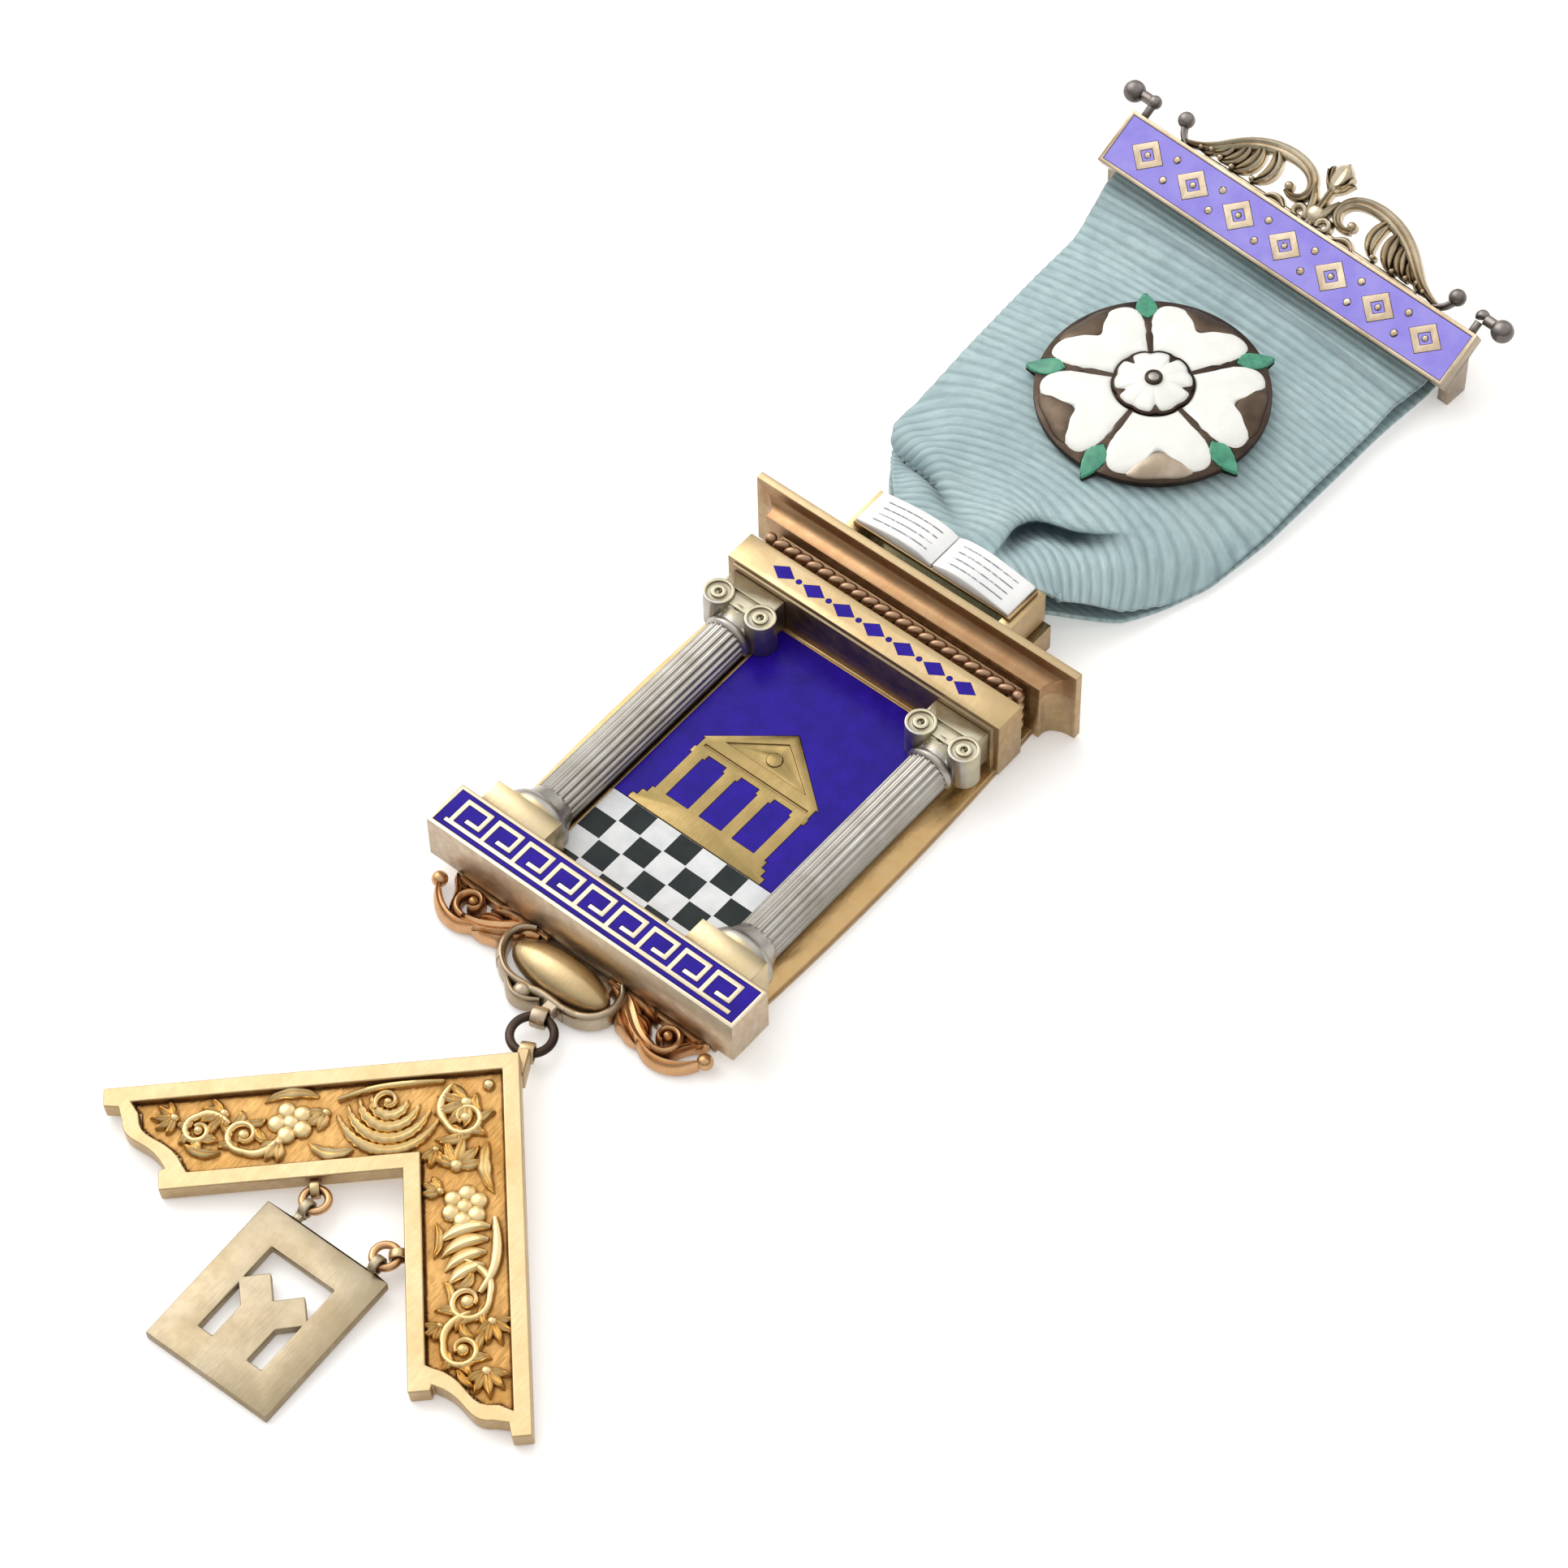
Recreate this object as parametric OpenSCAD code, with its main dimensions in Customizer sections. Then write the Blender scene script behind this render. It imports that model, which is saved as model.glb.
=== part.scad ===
/* [Temple] */
// Height of the temple from the foot of the bottom bar to the top of the cornice
temple_h = 46.4; // [44:0.2:50]
// Thickness of the back plate
back_t = 1.0; // [0.8:0.1:1.2]
// Width of the back plate at its ends
back_w = 29.2; // [28.6:0.2:30.6]
// How far each long side of the back plate bows out
back_bow = 0.8; // [0.4:0.1:1.2]
// Distance between the axes of the two columns
col_gap = 23.0; // [22:0.2:24]
// Radius of a column's shaft
shaft_r = 2.1; // [1.8:0.05:2.2]
// Number of flutes round a shaft
flutes = 20; // [14:2:22]
// Height of the entablature, from soffit to top
ent_h = 8.4; // [7.6:0.1:9.2]
// Height of the frieze's face above the back
frieze_z = 7.2; // [6.9:0.05:7.5]
// Width of the frieze
frieze_w = 30.7; // [30.2:0.1:31.4]
// Height of the cornice's front edge above the back
cornice_z = 9.1; // [8.7:0.05:9.5]
// Width of the cornice
cornice_w = 36.2; // [35:0.2:37.4]
// Radius of a bead under the cornice
bead_r = 0.6; // [0.45:0.05:0.62]
// Distance from one bead to the next
bead_pitch = 1.26; // [1.26:0.02:1.8]
// Height of the enamelled panel's block above the back
panel_z = 2.4; // [2.1:0.05:2.6]
// Depth of the cells that hold enamel
cell_d = 0.5; // [0.35:0.05:0.6]
// Number of squares across the chequered floor
chequer_n = 7; // [5:2:9]
// Number of rows of squares in the chequered floor
chequer_rows = 4; // [3:1:5]
// Height of a row of squares
chequer_h = 2.5; // [2.2:0.05:2.7]
// Width of the gilt portico across its eaves
portico_w = 13.2; // [11:0.2:15]
// Height of the gilt portico from its steps to its peak
portico_h = 14.5; // [12:0.2:17]

/* [Bottom bar] */
// Width of the bottom bar
bar_w = 34.3; // [33:0.1:36]
// Height of the bottom bar
bar_h = 4.7; // [4.3:0.1:5.2]
// Height of the bottom bar's face above the back
bar_z = 6.9; // [6.4:0.1:7.2]
// Height of the bottom bar's underside above the back
bar_under = 1.9; // [1.7:0.05:2.1]
// Width of the rim round an enamelled tray
rim = 0.4; // [0.3:0.05:0.5]
// Number of turns in the meander
meander_n = 9; // [7:1:10]

/* [Columns] */
// Width of a column's plinth
plinth_w = 7.2; // [6.6:0.1:7.6]
// Height of a column's plinth along the column
plinth_h = 2.4; // [2:0.1:2.8]
// Height of a plinth's face above the back
plinth_z = 6.6; // [6.3:0.05:6.8]
// Radius of a volute
volute_r = 1.45; // [1.25:0.05:1.55]
// Distance from a column's axis to the eye of a volute
volute_x = 2.4; // [2.2:0.05:2.55]

/* [Book and bail] */
// Height of the bail's posts above the cornice, along the jewel
bail_h = 6.1; // [5.8:0.1:6.6]
// Distance between the inner faces of the bail's posts
bail_in = 16.0; // [15.8:0.1:16.6]
// Thickness of a bail post
bail_t = 1.4; // [1.1:0.1:1.6]
// Radius of the bail's cross bar
bail_r = 0.85; // [0.7:0.05:0.95]
// Height of the cross bar's axis above the back
bail_z = 5.1; // [5:0.05:5.3]
// Width of the open book's cover
book_w = 17.2; // [16:0.2:18]
// Height of the open book, along the jewel
book_h = 4.0; // [3.6:0.1:4.2]
// Thickness of the leaves at their thickest
leaf_t = 1.3; // [0.9:0.05:1.6]

/* [Ribbon] */
// Width of the ribbon
ribbon_w = 38.0; // [36:0.2:40]
// Thickness of the ribbon
ribbon_t = 1.0; // [1:0.05:1.2]
// Distance between the two bars that the ribbon loops round
ribbon_run = 49.0; // [46:0.5:54]
// Height of the front layer's middle line above the back, under the rose
puff_z = 3.75; // [3.5:0.05:4.2]
// Height of the pleats where the ribbon is gathered
gather_z = 0.42; // [0.2:0.02:0.5]

/* [Brooch bar] */
// How far the brooch bar reaches beyond each edge of the ribbon
brooch_over = 1.85; // [1.5:0.05:2.4]
// Height of the brooch bar
brooch_h = 5.8; // [5.4:0.1:6.2]
// Thickness of the brooch bar
brooch_t = 1.6; // [1.4:0.1:1.8]
// Angle of the brooch bar to the surface that it lies on
brooch_tilt = 30; // [27:0.5:33]
// Angle by which the brooch bar is out of square with the temple
brooch_swing = -3.56; // [-5:0.1:-2]
// Height of the brooch bar's lower front edge above the back
brooch_z = 4.12; // [4.05:0.01:4.6]
// Radius of the rod that carries the ribbon
rod_r = 0.5; // [0.4:0.05:0.6]
// Height of the crest above the brooch bar
crest_h = 6.5; // [5.6:0.1:7.4]
// Number of lozenges on the brooch bar
lozenges = 7; // [5:1:8]

/* [Rose] */
// Radius of the rose
rose_r = 10.9; // [10:0.1:12]
// Height of the rose's metal dish at its middle
rose_h = 1.9; // [1.6:0.05:2.2]
// Height of the rose's metal dish at its rim
rose_rim = 0.8; // [0.7:0.05:1]
// Thickness of the rose's enamel
petal_t = 0.36; // [0.3:0.02:0.42]

/* [Drop and square] */
// Distance from the middle of the jewel to a ball end of the lower ornament
drop_w = 15.0; // [14:0.2:16]
// Thickness of the lower ornament
drop_t = 1.5; // [1.2:0.05:1.5]
// Radius of the jump ring to the middle of its wire
ring_r = 1.9; // [1.8:0.05:2.1]
// Radius of the jump ring's wire
wire_r = 0.4; // [0.35:0.01:0.42]
// Length of the square's arms along their outer edges
square_l = 35.2; // [33:0.2:38]
// Width of the square's arms
arm_w = 10.05; // [9.6:0.05:10.6]
// Thickness of the square
square_t = 1.8; // [1.6:0.05:2.2]
// Width of the square's raised border
border_w = 1.5; // [1.2:0.05:1.8]
// Depth of the square's recessed ground
ground_d = 0.7; // [0.5:0.05:0.9]
// Slope of the square, whose corner is propped up on the jump ring
square_tilt = 6.2; // [5.8:0.1:6.6]
// Angle by which the square is out of line with the temple
square_swing = -2.4; // [-3.2:0.1:-1.6]

/* [Plate] */
// Width of the pierced plate
plate_w = 13.1; // [12.4:0.1:13.8]
// Height of the pierced plate
plate_h = 15.35; // [14.4:0.1:16.2]
// Thickness of the pierced plate
plate_t = 1.0; // [0.8:0.05:1.2]
// Width of the pierced plate's frame
frame_w = 3.1; // [2.8:0.1:3.3]
// Slope of the pierced plate, whose upper edge hangs from two rings
plate_tilt = 3; // [2:0.2:4]
// Angle by which the pierced plate is out of line with the temple
plate_swing = 1.4; // [0:0.2:2.4]

/* [Hidden] */
$fn = 48;
fit = 0.04;
soffit = temple_h - ent_h;
col_x = col_gap / 2;
col_z = back_t + fit + shaft_r;
panel_w = col_gap - 2 * shaft_r - 0.2;
field_half = panel_w / 2 - 0.3;
field_y0 = bar_h + 0.3;
field_y1 = soffit - 0.4;
chequer_y1 = field_y0 + chequer_rows * chequer_h;
cell_z = panel_z - cell_d;
bail_y = temple_h + bail_h - 0.9;
post_z0 = bail_z - bail_r - 0.55;
book_z = 0.819 * cornice_z;
post_z1 = book_z - 0.05;
fold_r = ribbon_t / 2 + 0.08;
rod_z = rod_r + fold_r + ribbon_t / 2 + 0.02;
rod_y = bail_y + ribbon_run;
brooch_w = ribbon_w + 2 * brooch_over;
brooch_x = 0.29;
brooch_y = rod_y - 3.08;
rose_x = 1.5;
rose_y = bail_y + 0.549 * ribbon_run;
rose_z = puff_z + ribbon_t / 2 + 0.1;
rose_turn = 94.7;
heart_r = 0.35 * rose_r;
eyelet_r = wire_r + 0.58;
hole_r = wire_r + 0.18;
ring_seat = 0.06;
drop_z0 = bar_under - fit - drop_t;
drop_top = 0.5;
drop_eye = drop_w * [0.0967, -0.4567];
ring_turn = -70.6;
ring_c = drop_eye + (ring_r - ring_seat) * [cos(ring_turn), sin(ring_turn)];
corner_turn = -61;
corner_eye = ring_c + (ring_r - ring_seat) * [cos(corner_turn), sin(corner_turn)];
ring_z = 1.6;
corner = corner_eye + [0.95, -1.85];
arm_reach = (square_l - 4.7 + arm_w) / sqrt(2);
corner_z = arm_reach * sin(square_tilt) + square_t * cos(square_tilt) + 0.05;
small_r = 1.1;
small_wire = 0.36;
small_hole = small_wire + 0.2;
small_eyelet = small_hole + 0.3;
small_seat = 0.04;
small_z = 1.65;
hang_along = 17.5;
hang_out = 0.62;

gilt = [0.83, 0.68, 0.42];
rose_gilt = [0.80, 0.58, 0.40];
pale_gilt = [0.80, 0.72, 0.58];
blue = [0.20, 0.12, 0.62];
lilac = [0.50, 0.43, 0.88];
white = [0.95, 0.95, 0.93];
dark_metal = [0.33, 0.28, 0.24];

// Points on a cubic curve from a to d
function curve(a, b, c, d, n = 8) =
    [for (i = [0:n]) let (t = i / n, m = 1 - t)
        m * m * m * a + 3 * m * m * t * b + 3 * m * t * t * c + t * t * t * d];

// Points on a spiral about c, from radius r0 at angle a0 to radius r1 at angle a1
function spiral(c, r0, r1, a0, a1, n = 12) =
    [for (i = [0:n]) let (t = i / n, a = a0 + (a1 - a0) * t, r = r0 + (r1 - r0) * t)
        c + r * [cos(a), sin(a)]];

// Unit normal of a list of points at index i
function side_of(p, i) =
    let (d = p[min(i + 1, len(p) - 1)] - p[max(i - 1, 0)]) [-d[1], d[0]] / norm(d);

// Width of a stroke at share t, from w0 through w1 in the middle to w2
function swell(w, t) = w[0] * (1 - t) + w[2] * t + 4 * (w[1] - (w[0] + w[2]) / 2) * t * (1 - t);

// A band that follows the points p, with its widths at the start, middle and end
module stroke(p, w) {
    n = len(p) - 1;
    left = [for (i = [0:n]) p[i] + side_of(p, i) * swell(w, i / n) / 2];
    right = [for (i = [n:-1:0]) p[i] - side_of(p, i) * swell(w, i / n) / 2];
    polygon(concat(left, right));
}

// A leaf from a to b whose middle line is bent sideways by bend
module leaf(a, b, bend, w) {
    d = b - a;
    side = [-d[1], d[0]] * bend;
    stroke(curve(a, a + d / 3 + side, b - d / 3 + side, b, 6), [w * 0.3, w, 0.08]);
}

// Moves children from the foot of the temple to the frame of the whole jewel
module seated() {
    translate([0, -temple_h / 2, 0]) children();
}

// A straight prism from z0 to z1
module slab(z0, z1) {
    translate([0, 0, z0]) linear_extrude(z1 - z0) children();
}

// A rectangle from x0, y0 to x1, y1
module rect(x0, y0, x1, y1) {
    translate([x0, y0]) square([x1 - x0, y1 - y0]);
}

// A lozenge of half width long and half height tall
module lozenge(long, tall) {
    polygon([[-long, 0], [0, -tall], [long, 0], [0, tall]]);
}

// A short rod, centred at a place and height, that lies at turn degrees from X
module lying_rod(at, z, turn, r, length) {
    translate([at[0], at[1], z]) rotate([0, 0, turn]) rotate([0, 90, 0])
        cylinder(r = r, h = length, center = true);
}

// A closed ring of round wire lying flat
module wire_ring(at, z, r, wire) {
    translate([at[0], at[1], z]) rotate_extrude() translate([r, 0]) circle(wire, $fn = 24);
}

// Back plate's outline, drawn in by inset
module back_outline(inset) {
    n = 16;
    half = back_w / 2 - inset;
    y0 = inset + 0.55;
    y1 = temple_h - inset - 0.6;
    right = [for (i = [0:n]) let (t = i / n)
        [half + back_bow * 4 * t * (1 - t), y0 + (y1 - y0) * t]];
    left = [for (i = [n:-1:0]) [-right[i][0], right[i][1]]];
    polygon(concat(right, left));
}

// Profile of the entablature: share of its height, share of the cornice's projection
ent_rows = concat(
    [[0, -0.24], [0.03, -0.24], [0.03, 0], [0.417, 0], [0.417, -0.63], [0.679, -0.63],
        [0.679, 0.08], [0.738, 0.08]],
    [for (i = [1:6]) let (a = 15 * i) [0.738 + 0.165 * sin(a), 0.08 + 0.82 * (1 - cos(a))]],
    [[0.903, 1], [1, 1]]);
ent_step = cornice_z - frieze_z;
ent_end = (cornice_w - frieze_w) / 2;
recess_z = frieze_z - 0.63 * ent_step;
recess_x = frieze_w / 2 - 0.63 * ent_end;
bead_y = soffit + 0.548 * ent_h;

module entablature() {
    face = [for (r = ent_rows) [soffit + r[0] * ent_h, frieze_z + r[1] * ent_step]];
    ends = [for (r = ent_rows) [frieze_w / 2 + r[1] * ent_end, soffit + r[0] * ent_h]];
    n = len(ends) - 1;
    mirrored = [for (i = [n:-1:0]) [-ends[i][0], ends[i][1]]];
    intersection() {
        translate([-cornice_w, 0, 0]) rotate([90, 0, 90]) linear_extrude(2 * cornice_w)
            polygon(concat(face, [[temple_h, back_t / 2], [soffit, back_t / 2]]));
        slab(0, cornice_z + 1) polygon(concat(ends, mirrored));
    }
}

// Row of beads in the hollow of the entablature, along the face and round its ends
module beads() {
    out = 0.65 * bead_r;
    reach = recess_x + out;
    n = floor(2 * reach / bead_pitch);
    pitch = 2 * reach / n;
    for (i = [0:n])
        translate([-reach + i * pitch, bead_y, recess_z + out]) sphere(bead_r);
    for (s = [-1, 1], i = [1:3])
        translate([s * reach, bead_y, recess_z + out - i * pitch]) sphere(bead_r);
}

// Marks of blue enamel let into the frieze, drawn in by gap
module frieze_marks(gap) {
    y = soffit + 0.225 * ent_h;
    pitch = frieze_w / 9;
    for (i = [-3:3])
        translate([i * pitch, y]) lozenge(0.367 * pitch - gap, 0.1 * ent_h - gap);
    for (i = [-3:2])
        translate([(i + 0.5) * pitch, y]) circle(0.088 * pitch - gap);
}

// Gilt portico of four columns, grown by gap where the enamel goes round it
module portico(gap) {
    w = portico_w / 2 + gap;
    h = portico_h / 14.5;
    y0 = chequer_y1 + fit;
    step = 0.75 * h;
    for (i = [0:2])
        rect(-w - 0.9 + 0.5 * i, y0 + i * step - gap, w + 0.9 - 0.5 * i, y0 + (i + 1) * step + gap);
    for (i = [0:3]) {
        x = (i - 1.5) * (portico_w - 2) / 3;
        rect(x - 0.6 - gap, y0 + 2 * step, x + 0.6 + gap, y0 + 8 * h);
        rect(x - 0.85 - gap, y0 + 7.2 * h - gap, x + 0.85 + gap, y0 + 8 * h + gap);
    }
    rect(-w + 0.3, y0 + 7.8 * h - gap, w - 0.3, y0 + 9.2 * h + gap);
    polygon([[-w - gap, y0 + 9.15 * h - gap], [w + gap, y0 + 9.15 * h - gap],
        [0, y0 + portico_h + 1.5 * gap]]);
}

// Sunk lines of the portico: the hollow of its gable and the line over its columns
module portico_lines() {
    w = portico_w / 2;
    h = portico_h / 14.5;
    y0 = chequer_y1 + fit;
    difference() {
        polygon([[-w + 2.1, y0 + 9.9 * h], [w - 2.1, y0 + 9.9 * h], [0, y0 + portico_h - 1.3 * h]]);
        translate([0, y0 + 11.1 * h]) circle(0.75);
    }
    rect(-w + 0.8, y0 + 8.4 * h, w - 0.8, y0 + 8.65 * h);
}

// One line of a meander from x0 to x1, drawn thicker by gap
module meander(x0, x1, y0, h, gap) {
    u = (x1 - x0) / meander_n;
    t = 0.22 + gap;
    rect(x0 - t, y0 - t, x1 + t, y0 + t);
    for (i = [0:meander_n - 1]) {
        x = x0 + (i + 0.1) * u;
        rect(x - t, y0, x + t, y0 + h + t);
        rect(x - t, y0 + h - t, x + 0.72 * u + t, y0 + h + t);
        rect(x + 0.72 * u - t, y0 + 0.34 * h - t, x + 0.72 * u + t, y0 + h);
        rect(x + 0.36 * u - t, y0 + 0.34 * h - t, x + 0.72 * u, y0 + 0.34 * h + t);
    }
}

module bar_meander(gap) {
    reach = bar_w / 2 - rim - 1.0;
    meander(-reach, reach, 0.225 * bar_h, 0.55 * bar_h, gap);
}

module bar_tray(gap) {
    rect(-bar_w / 2 + rim + gap, rim + gap, bar_w / 2 - rim - gap, bar_h - rim - gap);
}

module temple_solid() {
    slab(0, 0.4 * back_t) back_outline(0);
    slab(0, 0.6 * back_t) back_outline(0.45);
    slab(0.6 * back_t, back_t) back_outline(0);
    slab(back_t / 2, cell_z) rect(-panel_w / 2, bar_h - 0.5, panel_w / 2, soffit + 0.5);
    difference() {
        slab(cell_z - 0.1, panel_z) rect(-panel_w / 2, bar_h - 0.5, panel_w / 2, soffit + 0.5);
        slab(cell_z, panel_z + 1) rect(-field_half, field_y0, field_half, field_y1);
    }
    difference() {
        slab(cell_z - 0.1, panel_z + 0.06) portico(0);
        slab(panel_z - 0.12, panel_z + 1) portico_lines();
    }
    difference() {
        slab(bar_under, bar_z) rect(-bar_w / 2, 0, bar_w / 2, bar_h);
        slab(bar_z - cell_d, bar_z + 1) bar_tray(0);
    }
    slab(bar_z - cell_d - 0.1, bar_z) bar_meander(0);
    slab(back_t / 2, bar_under + 0.1) rect(-back_w / 2, 0.55, back_w / 2, bar_h);
    difference() {
        entablature();
        slab(frieze_z - 0.4, frieze_z + 1) frieze_marks(0);
    }
    beads();
    tab = bail_in / 2 + bail_t + 0.6;
    slab(0, 0.8 * back_t) rect(-tab, temple_h - 1.2, tab, temple_h + bail_h);
    for (s = [-1, 1])
        translate([s * (tab - 0.5), 0])
            slab(0, 3.2) rect(-0.5, temple_h - 1, 0.5, temple_h + bail_h + 0.1);
}

module temple_body() {
    color(gilt) seated() temple_solid();
}

module field_enamel() {
    color(blue) seated() difference() {
        slab(cell_z + fit, panel_z)
            rect(-field_half + fit, chequer_y1 + fit, field_half - fit, field_y1 - fit);
        slab(cell_z - 1, panel_z + 1) portico(fit);
    }
}

// Every other square of the chequered floor, each drawn in by gap
module chequers(gap) {
    w = 2 * field_half / chequer_n;
    for (i = [0:chequer_n - 1], j = [0:chequer_rows - 1])
        if ((i + j + chequer_rows) % 2 == 0)
            rect(-field_half + i * w + gap, field_y0 + j * chequer_h + gap,
                -field_half + (i + 1) * w - gap, field_y0 + (j + 1) * chequer_h - gap);
}

pave_z = cell_z + fit + 0.2;

module pavement_black() {
    color([0.06, 0.07, 0.08]) seated() {
        slab(cell_z + fit, pave_z)
            rect(-field_half + fit, field_y0 + fit, field_half - fit, chequer_y1 - fit);
        slab(pave_z - 0.1, panel_z) chequers(0.09);
    }
}

module pavement_white() {
    color(white) seated() difference() {
        slab(pave_z + fit, panel_z)
            rect(-field_half + fit, field_y0 + fit, field_half - fit, chequer_y1 - fit);
        slab(pave_z, panel_z + 1) chequers(0.05);
    }
}

module frieze_enamel() {
    color(blue) seated() slab(frieze_z - 0.4 + fit, frieze_z - 0.01) frieze_marks(fit);
}

module bar_enamel() {
    color(blue) seated() difference() {
        slab(bar_z - cell_d + fit, bar_z - 0.04) bar_tray(fit);
        slab(bar_z - cell_d - 1, bar_z + 1) bar_meander(fit);
    }
}

// Half space in front of the enamelled panel's block
module before_panel() {
    intersection() {
        children();
        translate([-10, 0, panel_z + fit]) cube([20, temple_h, 20]);
    }
}

// Round moulding of a column, from its profile of radius and height
module turned(y, rows) {
    translate([0, y, col_z]) rotate([-90, 0, 0]) rotate_extrude() polygon(rows);
}

// Base moulding over the plinth, as radius beyond the shaft's and height above the plinth
base_rows = [[1.0, -0.2], [1.2, 0.35], [1.2, 0.85], [0.9, 1.35], [0.55, 1.5], [0.4, 1.9], [0, 2.9]];

// Neck moulding under the capital, as radius beyond the shaft's and height above the neck
neck_rows = [[0.05, -0.45], [0.3, -0.2], [0.3, 0.1], [0.02, 0.35], [0.25, 0.9], [0.7, 1.5], [0.7, 1.9]];

// Closed profile of a moulding, from its rows, raised by y
function moulding(rows, y) = concat([[0, rows[0][1] + y]],
    [for (r = rows) [shaft_r + r[0], r[1] + y]],
    [[0, rows[len(rows) - 1][1] + y]]);

module column() {
    foot = bar_h + fit;
    top = soffit - fit;
    neck = top - 4.5;
    flute_r = 0.8 * PI * shaft_r / flutes;
    abacus_w = 2 * volute_x + 1;
    before_panel() {
        translate([-plinth_w / 2, foot, 0]) cube([plinth_w, plinth_h, plinth_z]);
        turned(foot, moulding(base_rows, plinth_h));
        turned(neck, moulding(neck_rows, 0));
        for (s = [-1, 1])
            volute(s * volute_x, neck + 1.75);
        translate([-volute_x, neck + 1.45, 0]) cube([2 * volute_x, 1.6, plinth_z - 0.7]);
        translate([-abacus_w / 2, neck + 2.95, 0])
            cube([abacus_w, top - neck - 2.95, plinth_z - 0.4]);
    }
    translate([0, foot, col_z]) rotate([-90, 0, 0]) difference() {
        cylinder(r = shaft_r, h = top - foot);
        for (i = [0:flutes - 1])
            rotate([0, 0, 360 * i / flutes]) translate([shaft_r + 0.4 * flute_r, 0, plinth_h + 2.2])
                cylinder(r = flute_r, h = neck - foot - plinth_h - 2.2);
    }
}

// Scroll of a capital with a sunk ring round its eye
module volute(x, y) {
    face = plinth_z - 0.3;
    translate([x, y, 0]) {
        difference() {
            cylinder(r = volute_r, h = face);
            translate([0, 0, face - 0.25]) difference() {
                cylinder(r = 0.78 * volute_r, h = 1);
                cylinder(r = 0.5 * volute_r, h = 1);
            }
            translate([0, 0, face - 0.25]) cylinder(r = 0.22 * volute_r, h = 1);
        }
    }
}

module column_left() {
    color(pale_gilt) seated() translate([-col_x, 0, 0]) column();
}

module column_right() {
    color(pale_gilt) seated() translate([col_x, 0, 0]) column();
}

module ribbon_bail() {
    color(gilt) seated() {
        for (s = [-1, 1])
            slab(post_z0, post_z1) rect(s * (bail_in + bail_t) / 2 - bail_t / 2, temple_h + fit,
                s * (bail_in + bail_t) / 2 + bail_t / 2, temple_h + bail_h);
        translate([-bail_in / 2 - bail_t / 2, bail_y, bail_z]) rotate([0, 90, 0])
            cylinder(r = bail_r, h = bail_in + bail_t);
    }
}

book_y = temple_h + bail_h - 0.5 - book_h / 2;

module book_cover() {
    color(gilt) seated() slab(book_z, book_z + 0.4)
        rect(-book_w / 2 - 0.25, book_y - book_h / 2 - 0.1, book_w / 2 + 0.25, book_y + book_h / 2 + 0.1);
}

// Heap of leaves from the spine out, arched as an open book's are
module pages(s) {
    n = 10;
    w = book_w / 2;
    z = book_z + 0.4 + fit;
    top = [for (i = [0:n]) let (t = i / n)
        [s * (0.08 + (w - 0.08) * t), z + leaf_t * (0.45 + 0.55 * sin(180 * pow(t, 0.7)) - 0.15 * t)]];
    translate([0, book_y + book_h / 2, 0]) rotate([90, 0, 0]) linear_extrude(book_h)
        polygon(concat(top, [[s * w, z], [s * 0.08, z]]));
}

module page_left() {
    color(white) seated() pages(-1);
}

module page_right() {
    color(white) seated() pages(1);
}

// Sections of the ribbon's front layer, as shares: place along the run; left and right half widths
// of the ribbon's width; height in the middle and at the edges of the puff's height; how far the
// section follows the bail; how far it follows the brooch's rod
front_rows = [
    [0.000, 0.200, 0.200, 1.00, 1.00, 1.00, 0.0],
    [0.020, 0.202, 0.201, 1.00, 0.99, 0.97, 0.0],
    [0.039, 0.232, 0.216, 1.00, 0.98, 0.94, 0.0],
    [0.094, 0.295, 0.289, 1.00, 0.88, 0.67, 0.0],
    [0.141, 0.347, 0.353, 1.00, 0.64, 0.42, 0.0],
    [0.222, 0.411, 0.405, 1.00, 0.47, 0.17, 0.0],
    [0.310, 0.419, 0.448, 1.00, 0.46, 0.00, 0.0],
    [0.463, 0.432, 0.474, 1.00, 0.50, 0.00, 0.0],
    [0.673, 0.442, 0.482, 1.00, 0.50, 0.00, 0.0],
    [0.735, 0.444, 0.483, 0.96, 0.48, 0.00, 0.0],
    [0.790, 0.446, 0.484, 0.78, 0.47, 0.00, 0.0],
    [0.855, 0.462, 0.488, 0.98, 0.64, 0.00, 0.0],
    [0.927, 0.497, 0.496, 0.78, 0.72, 0.00, 0.6],
    [0.953, 0.500, 0.500, 0.74, 0.74, 0.00, 0.7],
    [1.000, 0.500, 0.500, 1.00, 1.00, 0.00, 1.0]];

// How far the back layer rises to the bail, at places along the run
back_rise = [[0, 1], [0.039, 0.88], [0.094, 0.42], [0.141, 0.12], [0.2, 0], [1, 0]];

// Soft folds of the front layer, as shares of the run and of the ribbon's width: place along and
// across, direction in degrees, half length, half width, and height in gather heights
fold_rows = [
    [0.165, 0.060, 28, 0.30, 0.050, 1.9],
    [0.120, 0.150, 20, 0.22, 0.045, -1.5],
    [0.230, 0.300, 60, 0.24, 0.070, 1.0],
    [0.200, -0.250, -60, 0.26, 0.060, 1.1],
    [0.250, -0.330, -75, 0.24, 0.050, -0.8],
    [0.860, -0.100, 4, 0.50, 0.060, 0.5]];

bail_room = 0.4;
bail_front = bail_z + bail_r + fold_r;
bail_back = bail_z - bail_r - fold_r;
rod_front = rod_z + rod_r + fold_r;
floor_mid = ribbon_t / 2 + 0.02;
loop_bail = bail_r + fold_r;
loop_rod = rod_r + fold_r;
front_n = 30;
arc_n = 8;
back_n = 12;
across_n = 16;

// One column of the front table at share t
function front_at(t, c) = lookup(t, [for (r = front_rows) [r[0], r[c]]]);

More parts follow.
